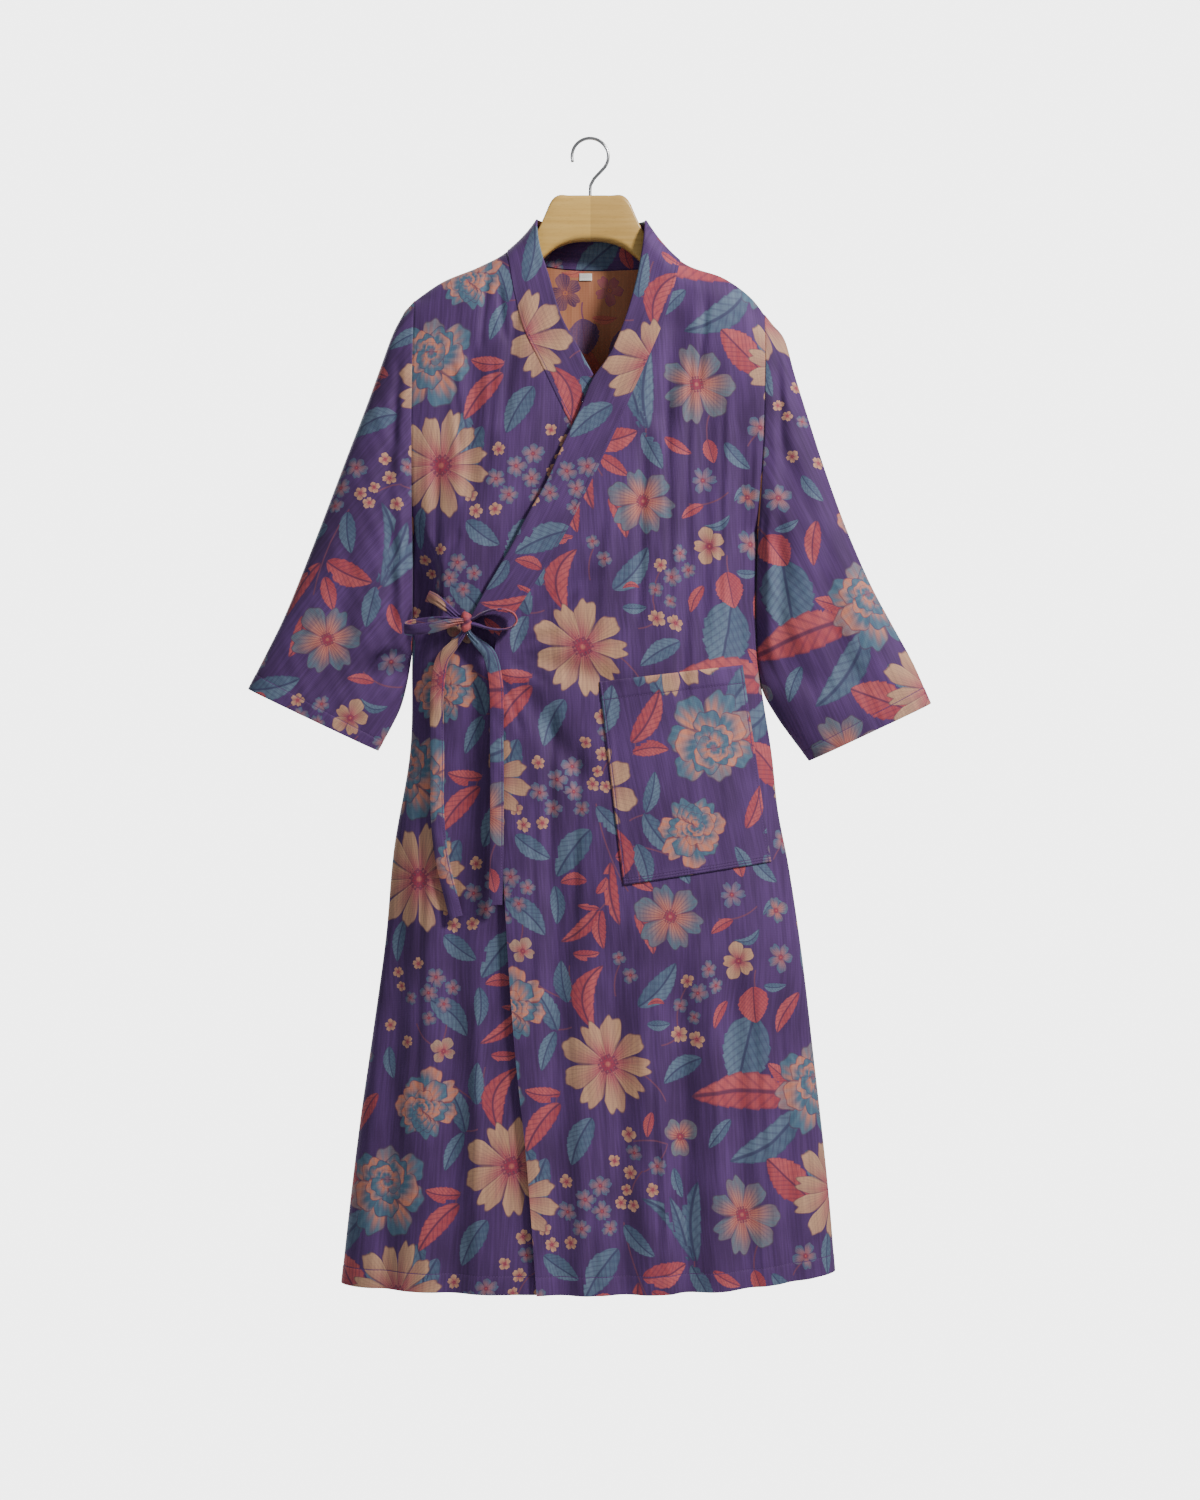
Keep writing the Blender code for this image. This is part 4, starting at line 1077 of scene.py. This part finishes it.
def front_grid(place, columns, side):
    """Angles and heights of a front's grid, between its inner edge and one side seam."""
    neck = float(curve_through(SHOULDER_LINE, RIGHT_NECK_X if side > 0 else LEFT_NECK_X))
    reference = np.repeat(panel_heights(neck)[:, None], columns, axis=1)
    start = turn_at(curve_through(inner_edge(place), reference), reference)
    phi = start + (math.pi / 2 * side - start) * np.linspace(0, 1, columns)[None, :]
    z = hang(phi, reference, neck, lambda x: np.minimum(curve_through(SHOULDER_LINE, x), neck), 1)
    return phi, z, reference - HEM_REFERENCE


def front_piece(name, place, columns, side, drift, start, drop):
    """drift is how far the print leans, start and drop where the panel was cut from it."""
    phi, z, above_hem = front_grid(place, columns, side)
    outer = body(phi, z, place)
    across = outer[:, :1, 0] + side * lengths(outer, 1)
    flat = joined(across + drift * z + start, -z - drop)
    return hemmed_panel(name, phi, z, place, above_hem, flat)


lower_front = front_piece("lower_front", "under", 100, -1, -0.061, 125, 109.6)
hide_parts("right_front")
upper_front = front_piece("upper_front", "over", 125, 1, 0.07, 149.3, 0)
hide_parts("left_front")


# Collar band: one folded strip, about 42 mm wide, sewn up the upper front's slanting edge, round
# the neck and down the lower front. Its free edge is the fold and it lies over the fronts.

BAND_GAUZE = 2.4
BAND_STEPS = 10
BAND_PROUD = 0.8
BAND_LAP = 1.2
BAND_PLACES = [0, 0.6, 1.2, 1.8, 2.8, 4.5, 7, 11, 15, 19, 23, 27, 31, 34, 36.5, 37.5, 38.3, 39.2]
BAND_STITCH = 2.2
BAND_STITCH_WIDTH = 0.6
BAND_GROOVE = 0.35
BAND_AT_SEAM = 0.3
BAND_UNDER = 0.15
BAND_STEP = 1.6
BAND_FOLD = 1.1
BAND_MIDDLE = 7
BAND_CUT = (95, 448)


def band_rows():
    """The band's rows with more between them, whose seam stays on the panels' edges."""
    edges = {place: inner_edge(place) for place in ("over", "under")}
    free = {place: band_edge(place, 3) for place in ("over", "under")}
    rows = []
    for a, b in zip(BAND, BAND[1:]):
        place = b[0] if a[0] == "ridge" else a[0]
        for step in range(BAND_STEPS):
            t = step / BAND_STEPS
            row = [p + (q - p) * t for p, q in zip(a[1:], b[1:])]
            if place == "back":
                row[1] = float(curve_through(BACK_NECK, row[0]))
            elif step:
                row[0] = float(curve_through(edges[place], row[1]))
                if "ridge" not in (a[0], b[0]):
                    row[2] = float(curve_through(free[place], row[3]))
            rows.append((a[0] if not step else place, place, row))
    rows.append((BAND[-1][0], BAND[-1][0], list(BAND[-1][1:])))
    return rows


def band_grids():
    """The band's two faces, and how far each point is from its row of stitches. The band laps a
    little over the panels, and is topstitched close to its seam."""
    outer, inner, away = [], [], []
    places = np.array(BAND_PLACES) / BAND_PLACES[-1]
    for kind, place, (ax, az, bx, bz) in band_rows():
        width = math.hypot(bx - ax, bz - az)
        from_seam = -BAND_LAP + (width + BAND_LAP) * places
        from_edge = width - from_seam
        x = ax + (bx - ax) * from_seam / width
        z = az + (bz - az) * from_seam / width
        ridge = curve_through(SHOULDER_LINE, x)
        z = ridge if kind == "ridge" else np.minimum(z, ridge)
        phi = turn_at(x, z)
        round_seam = rounded((from_seam + BAND_LAP) / BAND_LAP)
        round_edge = 1 - rounded(from_edge / BAND_FOLD)
        sewn = bell((from_seam - BAND_STITCH) / BAND_STITCH_WIDTH)
        rise = BAND_AT_SEAM + (BAND_PROUD - BAND_AT_SEAM) * round_seam
        rise = rise - BAND_GROOVE * sewn - BAND_GAUZE * 0.45 * round_edge
        below = BAND_GAUZE * smooth((from_seam + 0.1) / BAND_STEP) * (1 - 0.5 * round_edge)
        point = body(phi, z, place, groove=0)
        normal = body_normal(phi, z, place)
        lies = BAND_UNDER + (BAND_PROUD - BAND_UNDER) * smooth(from_seam / BAND_STEP)
        under = point + normal * (lies - below)[:, None]
        keep_side(under, {"ridge": 0, "back": 1}.get(kind, -1))
        outer.append(point + normal * rise[:, None])
        inner.append(under)
        away.append(np.abs(from_seam - BAND_STITCH))
    return np.array(outer), np.array(inner), np.array(away)


outer, inner, away = band_grids()
along = lengths(outer[:, BAND_MIDDLE], 0)[:, None]
flat = joined(BAND_CUT[0] - lengths(outer, 1), BAND_CUT[1] - along)
collar = cloth("collar", outer, inner, flat, folded=True, stitches=joined(along, away))
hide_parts("collar_band")


# Sleeves: two wide straight sleeves with dropped shoulders, seamed underneath and hemmed at the
# cuff. They hang from the armholes and fall nearly flat.

# Rings down a sleeve: x and z of its outer edge, x and z of its inner edge, half depth
RIGHT_SLEEVE = [
    (200, -202, 184, -441, 21), (214, -220, 183, -462, 22), (225, -258, 182, -488, 23),
    (238, -300, 182, -514, 24), (258, -362, 182, -545, 24), (282, -428, 183, -577, 24),
    (308, -488, 190, -607, 23.5), (332, -533, 205, -634, 23), (355, -575, 222, -658, 22.5),
    (375, -620, 241, -683, 22),
]
LEFT_SLEEVE = [
    (-204, -189, -194, -440, 21), (-217, -214, -193, -460, 22), (-231, -252, -193, -485, 23),
    (-247, -296, -193, -510, 24), (-267, -348, -193, -538, 24), (-289, -406, -196, -568, 24),
    (-313, -468, -201, -598, 23.5), (-335, -522, -208, -624, 23), (-355, -563, -219, -647, 22.5),
    (-376, -604, -233, -672, 22),
]
# Creases: ring where it starts and ends, place round the sleeve in half turns, depth
SLEEVE_CREASES = {
    "right": [
        (1.0, 5.5, 0.36, 5.0), (3.0, 9.0, 0.62, 5.4), (5.0, 9.9, 0.40, 4.0), (1.5, 8.0, 0.80, 4.0),
        (1.0, 6.0, -0.40, 4.6), (3.5, 9.8, -0.62, 5.0), (2.0, 8.0, -0.80, 3.4),
    ],
    "left": [
        (1.0, 5.0, 0.38, 5.0), (3.0, 9.0, 0.64, 5.4), (5.5, 9.9, 0.42, 4.0), (1.5, 8.0, 0.82, 4.0),
        (1.0, 6.5, -0.42, 4.6), (3.0, 9.8, -0.60, 5.0), (2.0, 7.0, -0.78, 3.4),
    ],
}
CREASE_WIDTH = 0.075
CREASE_FADE = 1.5
AT_BODY = 0.06
SLEEVE_COLUMNS = 150
SLEEVE_STEPS = 12
CUFF_ROW = 50
ARMHOLE_STEPS = (0.12, 0.3, 0.6)


def sleeve_grids(side, table, columns, steps):
    sign = 1 if side == "right" else -1
    seam = RIGHT_SIDE if side == "right" else LEFT_SIDE
    top, bottom = ARMHOLES[side]
    angle = np.linspace(-math.pi, math.pi, columns, endpoint=False)
    up = np.cos(angle)
    shape = np.sign(np.sin(angle)) * np.sqrt(np.clip(1 - np.abs(up) ** 3, 0, 1))
    z = (top + bottom) / 2 + (top - bottom) / 2 * up
    first = joined(curve_through(seam, z), -(ARMHOLE_DEPTH - SEAM_GROOVE) * shape, z)
    numbered = [(i + 1, *row) for i, row in enumerate(table)]
    last = (len(table) - 1) * CUFF_ROW
    places = 1 + marked([0] + [last - mark for mark in HEM_MARKS[::-1]], CUFF_ROW / steps) / CUFF_ROW
    ox, oz, ix, iz, depth = [curve_through(numbered, places, c) for c in range(1, 6)]
    ix = sign * np.maximum(sign * ix, sign * curve_through(seam, iz) - SEAM_GROOVE + AT_BODY)

    def ring(k):
        x = (ox[k] + ix[k]) / 2 + (ox[k] - ix[k]) / 2 * up
        z = (oz[k] + iz[k]) / 2 + (oz[k] - iz[k]) / 2 * up
        return joined(x, -depth[k] * shape, z)

    shown = [first]
    for share in ARMHOLE_STEPS:
        shown.append(first + (ring(0) - first) * share)
        shown[-1][:, 1] -= SEAM_GROOVE * shape * (1 - share)
    outer = np.array(shown + [ring(k) for k in range(len(places))])
    number = np.concatenate([[0, *ARMHOLE_STEPS], places])
    dent = np.zeros(outer.shape[:2])
    for begin, end, place, deep in SLEEVE_CREASES[side]:
        fade = smooth((number - begin) / CREASE_FADE) * smooth((end - number) / CREASE_FADE)
        slide = place + 0.05 * np.sin(number * 1.3 + place * 9)
        near = bell((angle / math.pi - slide[:, None]) / CREASE_WIDTH)
        dent += deep * fade[:, None] * near * np.sign(place)
    ripple = crinkle(outer[..., 0] + outer[..., 2] * 0.45, outer[..., 2] * 0.8)
    flat_part = np.minimum(1, 3 * (1 - np.abs(up)))
    outer[..., 1] += dent + ripple * flat_part * smooth(number - 1)[:, None] * 1.2
    around = np.roll(outer, -1, axis=1) - np.roll(outer, 1, axis=1)
    normal = np.cross(around, np.gradient(outer, axis=0)) * -sign
    normal /= np.linalg.norm(normal, axis=-1, keepdims=True)
    middle = outer.mean(axis=1, keepdims=True)
    normal *= np.sign(((outer - middle) * normal).sum(axis=-1, keepdims=True))
    inner = outer - GAUZE * normal
    above_cuff = np.repeat(((len(table) - number) * CUFF_ROW)[:, None], columns, axis=1)
    outer, inner = turned_up(outer, inner, normal, above_cuff)
    inner[0, :, 0] = outer[0, :, 0]
    return outer, inner, above_cuff


def cut_from_print(places, here, motif, turn):
    """Lays the print so that the motif falls here, turned by some degrees clockwise."""
    turn = math.radians(turn)
    away = places - here
    back_x = away[..., 0] * math.cos(turn) + away[..., 1] * math.sin(turn)
    back_y = away[..., 1] * math.cos(turn) - away[..., 0] * math.sin(turn)
    return joined(back_x, back_y) + motif


def sleeve_piece(name, side, table, here, motif, turn):
    outer, inner, above_cuff = sleeve_grids(side, table, SLEEVE_COLUMNS, SLEEVE_STEPS)
    wrapped = np.concatenate([outer, outer[:, :1]], axis=1)
    round_it = lengths(wrapped, 1)
    half = wrapped.shape[1] // 2
    signed = round_it - round_it[:, half : half + 1]
    edge = wrapped[:, half][:, (0, 2)]
    under = wrapped[:, 0][:, (0, 2)]
    toward = (under - edge) / np.linalg.norm(under - edge, axis=1, keepdims=True)
    along = (edge[-1] - edge[0]) / np.linalg.norm(edge[-1] - edge[0])
    folded_over = 2 * (toward @ along)[:, None] * along - toward
    away = np.where(signed[..., None] < 0, folded_over[:, None], toward[:, None])
    plane = edge[:, None, :] + away * np.abs(signed)[..., None]
    flat = cut_from_print(plane * (1, -1), here, motif, turn)
    above_cuff = np.concatenate([above_cuff, above_cuff[:, :1]], axis=1)
    stitches = joined(round_it, np.abs(above_cuff - HEM_TURNED))
    return cloth(name, outer, inner, flat, closed=True, stitches=stitches)


left_sleeve = sleeve_piece("left_sleeve_cloth", "right", RIGHT_SLEEVE, (231, 561), (260, 149), -25)
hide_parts("left_sleeve")
right_sleeve = sleeve_piece("right_sleeve_cloth", "left", LEFT_SLEEVE, (-280, 556), (180, 400), 39)
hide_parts("right_sleeve")


# Pocket: a patch of the same cloth, cut the other way up. Its top is hemmed and open, and its
# other three edges are turned under and topstitched to the upper front.

POCKET_CORNERS = [(10, -597), (167, -578), (198, -793), (36, -817)]
POCKET_LIFT = 0.5
POCKET_PUFF = 2.6
POCKET_GAUZE = 1.6
POCKET_FOLD = 1.2
POCKET_STITCHES = (3, 6)
POCKET_STEPS = (2.2, 2.6)
POCKET_TURNED = 0.4
THREAD_GROOVE = 0.5
POCKET_EDGE = [0, 0.15, 0.5, 1.2, 2.3, 3, 3.7, 4.6, 5.3, 6, 6.7, 8]


def front_point(x, z, out):
    """A point in front of the upper front, by its distance from it."""
    point = body(turn_at(x, z), z, "over")
    point[..., 1] -= out
    return point


def pocket_piece(name):
    corners = np.array(POCKET_CORNERS, float)
    wide = np.linalg.norm(corners[1] - corners[0])
    tall = np.linalg.norm(corners[3] - corners[0])
    ends = [wide - mark for mark in POCKET_EDGE[::-1]]
    across = marked(POCKET_EDGE + ends, POCKET_STEPS[0])[None, :]
    top_hem = [0, 0.15, 0.5, 1.2, 19.3, HEM_TURNED, 20.7]
    ends = [tall - mark for mark in POCKET_EDGE[::-1]]
    down = marked(top_hem + ends, POCKET_STEPS[1])[:, None]
    u, v = (across / wide)[..., None], (down / tall)[..., None]
    top = corners[0] + (corners[1] - corners[0]) * u
    bottom = corners[3] + (corners[2] - corners[3]) * u
    place = top + (bottom - top) * v
    x, z = place[..., 0], place[..., 1]
    u, v = u[..., 0], v[..., 0]
    lift = POCKET_LIFT + POCKET_PUFF * np.sin(np.pi * u) * smooth((1 - v) * 3)
    side = np.minimum(across, wide - across)
    sewn_edge = np.minimum(side, tall - down)
    edge = np.minimum(sewn_edge, down)
    folded = smooth(edge / POCKET_FOLD)
    thick = POCKET_GAUZE * np.sqrt(1 - 0.98 * (1 - np.clip(edge / POCKET_FOLD, 0, 1)) ** 2)
    thick = thick + POCKET_TURNED * (1 - smooth((sewn_edge - 7) / 1.4)) * folded
    thick = thick + POCKET_TURNED * (1 - smooth((down - HEM_TURNED) / HEM_STEP)) * folded
    near, far = POCKET_STITCHES
    lines = np.stack(np.broadcast_arrays(
        side - near, tall - down - near, tall - down - far, down - HEM_TURNED
    ))
    along = np.where(np.abs(lines).argmin(axis=0) == 0, down, across)
    away = np.abs(lines).min(axis=0)
    thick = thick - 0.45 * bell(away / THREAD_GROOVE)
    own = crinkle(x * 1.1 + 40, z + 23) * smooth((edge - 5) / 12) * 0.6
    flat = cut_from_print(place * (1, -1), (132, 660), (346, 136), 168.5)
    return cloth(
        name, front_point(x, z, lift + thick + own), front_point(x, z, lift), flat,
        stitches=joined(along, away),
    )


pocket = pocket_piece("patch_pocket")
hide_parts("pocket")


# Size label: a short piece of white satin tape, caught in the seam at the back of the neck. It is
# left bare, with its two cut ends pressed flat.

LABEL_SIZE = (14, 8)
LABEL_AT = (-5, -147.5)
LABEL_TAPE = 0.5


def satin_tape():
    made, tree, shader = new_material("white satin tape", {"Roughness": 0.38, "Sheen Weight": 0.3})
    place = node(tree, "TexCoord", {}).outputs["Object"]
    wave = node(tree, "TexWave", {"Vector": place, "Scale": 900, "Distortion": 0.4}, bands_direction="Z")
    ribs = wave.outputs["Fac"]
    tone = ramp(tree, ribs, (0, (0.72, 0.71, 0.69)), (1, (0.88, 0.87, 0.85)))
    feed(tree, shader, {"Base Color": tone})
    emboss(tree, shader, ribs, 0.3, 0.0002)
    return made


width, height = LABEL_SIZE
x = LABEL_AT[0] + marked([-width / 2, -6.7, -6.2, 6.2, 6.7, width / 2], 0.7)[None, :]
z = LABEL_AT[1] + marked([-height / 2, -3.7, -3.2, 3.2, height / 2], 0.5)[:, None]
x, z = np.broadcast_arrays(x, z)
phi = turn_at(x, z)
normal = body_normal(phi, z, "back")
curl = 0.5 * smooth((LABEL_AT[1] - z) / 4) ** 2
near_edge = np.minimum(width / 2 - np.abs(x - LABEL_AT[0]), height / 2 - np.abs(z - LABEL_AT[1]))
pressed = LABEL_TAPE * (0.45 + 0.55 * smooth(near_edge / 0.5))
lies = body(phi, z, "back") - normal * (GAUZE + 0.3 + curl)[..., None]
label = cloth("size_label", lies, lies - normal * pressed[..., None], joined(x, -z))
label.data.materials.clear()
label.data.materials.append(satin_tape())
label.data.polygons.foreach_set("material_index", np.zeros(len(label.data.polygons), np.int32))
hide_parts("neck_label")


# Tie: two strips, each folded to 15 mm and topstitched along its open edge. They are tied in a
# bow at the wearer's right, and their free ends hang down in front.

TIE_WIDTH = 15
TIE_AT_KNOT = 7
TIE_GAUZE = 1.9
TIE_STITCH = 0.733
TIE_ACROSS = [-1, -0.97, -0.88, -0.6, -0.3, 0, 0.3, 0.6, TIE_STITCH, 0.88, 0.97, 1]
TAIL_ROWS = 130
LOOP_ROWS = 96
STRAP_ROWS = 40
KNOT_AT = (-134, -532)
KNOT_SIZE = (13, 13, 20)
KNOT_LIFT = 1.0
LEFT_TAIL = [
    (-135, -537.5, 7.5, 5), (-137, -543.5, 7, 6), (-147, -556, 6, 10), (-160, -572, 6, 14),
    (-165.5, -600, 6, 15), (-166, -680, 6, 15), (-165.5, -744, 7, 15), (-161, -785, 8, 15),
    (-152, -825, 8, 15), (-145, -852, 9, 15),
]
RIGHT_TAIL = [
    (-133, -537.5, 7.5, 5), (-131, -543.7, 7, 6), (-122, -554, 6, 10), (-110, -566, 5, 14),
    (-103, -590, 4, 15), (-101, -660, 4, 15), (-100.5, -740, 4, 15), (-101, -800, 4, 15),
    (-102, -838, 5, 15),
]
LEFT_LOOP = [
    (-137, -531.5, 11.5), (-142, -532, 12.5), (-152, -534, 14), (-168, -538, 15.5), (-184, -540.5, 16),
    (-195, -541, 14.5), (-200.5, -539.5, 11), (-195, -536, 7.5), (-184, -534, 6), (-168, -532, 6.2),
    (-152, -531, 7.4), (-142, -530.5, 8.2), (-137, -530.5, 8.2),
]
RIGHT_LOOP = [
    (-131, -530, 7.6), (-126, -528.5, 8.4), (-118, -524, 10.6), (-106, -519.5, 13.5), (-92, -519, 15.5),
    (-81.5, -524, 16.5), (-79, -531.5, 16.5), (-85, -538.5, 15.8), (-97, -540.5, 14.2),
    (-112, -538.5, 11.5), (-126, -534.5, 8.4), (-131, -533, 7.6),
]
STRAP = [
    (-177, -503, -11), (-168, -507, -1), (-155, -517, 3.4), (-142.8, -527, 4.6), (-137, -530, 5.6),
]


def resample(points, count):
    """The given number of points, evenly spaced along a smooth curve through the given ones."""
    points = np.array(points, float)
    along = lengths(points, 0)
    at = np.linspace(0, along[-1], count)
    columns = [curve_through(list(zip(along, values)), at) for values in points.T]
    return np.stack(columns, axis=-1)


def strip(name, centre, across, widths, cut, curl=0.0):
    """A folded strip of the tie along its centre line. cut is where it starts on the print, and
    curl is how far its first edge turns away from the side that it faces."""
    along = np.gradient(centre, axis=0)
    facing = np.cross(along, across)
    facing /= np.linalg.norm(facing, axis=1, keepdims=True)
    across = np.cross(facing, along)
    across /= np.linalg.norm(across, axis=1, keepdims=True)
    s = np.array(TIE_ACROSS)[None, :]
    widths = np.array(widths)[:, None]
    length = lengths(centre, 0)[:, None]
    gathered = 1 - smooth((widths - TIE_AT_KNOT) / (TIE_WIDTH - TIE_AT_KNOT))
    bend = -curl * smooth((-s - 0.3) / 0.7) * (1 - gathered)
    bend = bend + 0.9 * gathered * np.cos(s * 2.6 * math.pi) * (1 - s**4)
    bend = bend + 0.30 * np.sin(length / 11 + s * 1.7) * (1 - s**2) + 0.2 * np.sin(length / 4.7 - s * 2)
    half_thick = TIE_GAUZE / 2 * np.sqrt(1 - 0.96 * s**4) * (1 + 0.5 * gathered)
    away = np.abs(s - TIE_STITCH) * TIE_WIDTH / 2
    groove = 0.3 * bell(away / THREAD_GROOVE)
    place = centre[:, None] + across[:, None] * (widths * s / 2)[..., None]
    outer = place + facing[:, None] * (bend + half_thick - groove)[..., None]
    inner = place + facing[:, None] * (bend - half_thick + groove)[..., None]
    flat = joined(cut[0] + s * TIE_WIDTH / 2, cut[1] + cut[2] * length)
    return cloth(name, outer, inner, flat, folded=True, stitches=joined(length, away))


def tail_strip(name, table, cut, curl):
    rows = resample(table, TAIL_ROWS)
    centre = front_point(rows[:, 0], rows[:, 1], rows[:, 2])
    return strip(name, centre, (1.0, 0.0, 0.0), rows[:, 3], cut, curl)


def in_front_of_knot(rows):
    """Points given by x, z and their distance from the robe at the knot."""
    surface = front_point(np.array(KNOT_AT[0]), np.array(KNOT_AT[1]), 0.0)[1]
    return joined(rows[:, 0], surface - rows[:, 2], rows[:, 1])


def loop_strip(name, table, across, cut):
    rows = resample(table, LOOP_ROWS)
    t = np.linspace(0, 1, len(rows))
    widths = TIE_AT_KNOT + (TIE_WIDTH - 2 - TIE_AT_KNOT) * smooth(4 * np.minimum(t, 1 - t))
    return strip(name, in_front_of_knot(rows), across, widths, cut)


left_tail = tail_strip("tie_tail_outer", LEFT_TAIL, (360, 318, -1), 1.6)
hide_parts("tie_tail_left")
right_tail = tail_strip("tie_tail_inner", RIGHT_TAIL, (264, 60, 1), 0.8)
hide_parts("tie_tail_right")
left_loop = loop_strip("tie_loop_outer", LEFT_LOOP, (0.0, -0.45, 0.9), (190, 396, 1))
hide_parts("tie_loop_left")
right_loop = loop_strip("tie_loop_inner", RIGHT_LOOP, (0.0, 1.0, 0.12), (120, 318, 1))
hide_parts("tie_loop_right")
rows = resample(STRAP, STRAP_ROWS)
widths = np.linspace(TIE_WIDTH - 2, TIE_AT_KNOT, STRAP_ROWS)
strap = strip("tie_strap_at_side", in_front_of_knot(rows), (0.4, 0.0, 1.0), widths, (362, 270, 1))
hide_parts("tie_strap")

# The knot is one more turn of the strip, wrapped round the others and pulled tight
KNOT_COLUMNS = 56
KNOT_ROWS = 23
KNOT_WALL = (0.98, 0.72)
middle = front_point(np.array(KNOT_AT[0]), np.array(KNOT_AT[1]), KNOT_SIZE[1] / 2 + KNOT_LIFT)
v = np.linspace(-1, 1, KNOT_ROWS)[:, None]
turn = np.linspace(0, 2 * math.pi, KNOT_COLUMNS + 1)[None, :]
barrel = 0.42 + 0.58 * np.sqrt(1 - np.abs(v) ** 2.6)
wrap = np.sin(7 * v + 2.2 * np.sin(turn + 0.6) + 0.8)
barrel = barrel + 0.055 * wrap * (1 - v**2) - 0.05 * np.cos(3 * turn + 4 * v) * (1 - v**2)
tall = v * KNOT_SIZE[2] / 2 * (1 - 0.14 * np.cos(turn - 0.8)) + 1.2 * np.sin(turn) * (1 - v**2)


def knot_grid(share):
    x = KNOT_SIZE[0] / 2 * barrel * share * np.cos(turn)
    y = KNOT_SIZE[1] / 2 * barrel * share * np.sin(turn)
    return (middle + joined(x, y, tall))[:, :-1]


flat = joined(292 + turn * 2.6, 234 + v * 8)
shown, hidden = [knot_grid(share) for share in KNOT_WALL]
knot = cloth("tie_knot_wrap", shown, hidden, flat, closed=True, folded=True)
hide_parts("tie_knot")
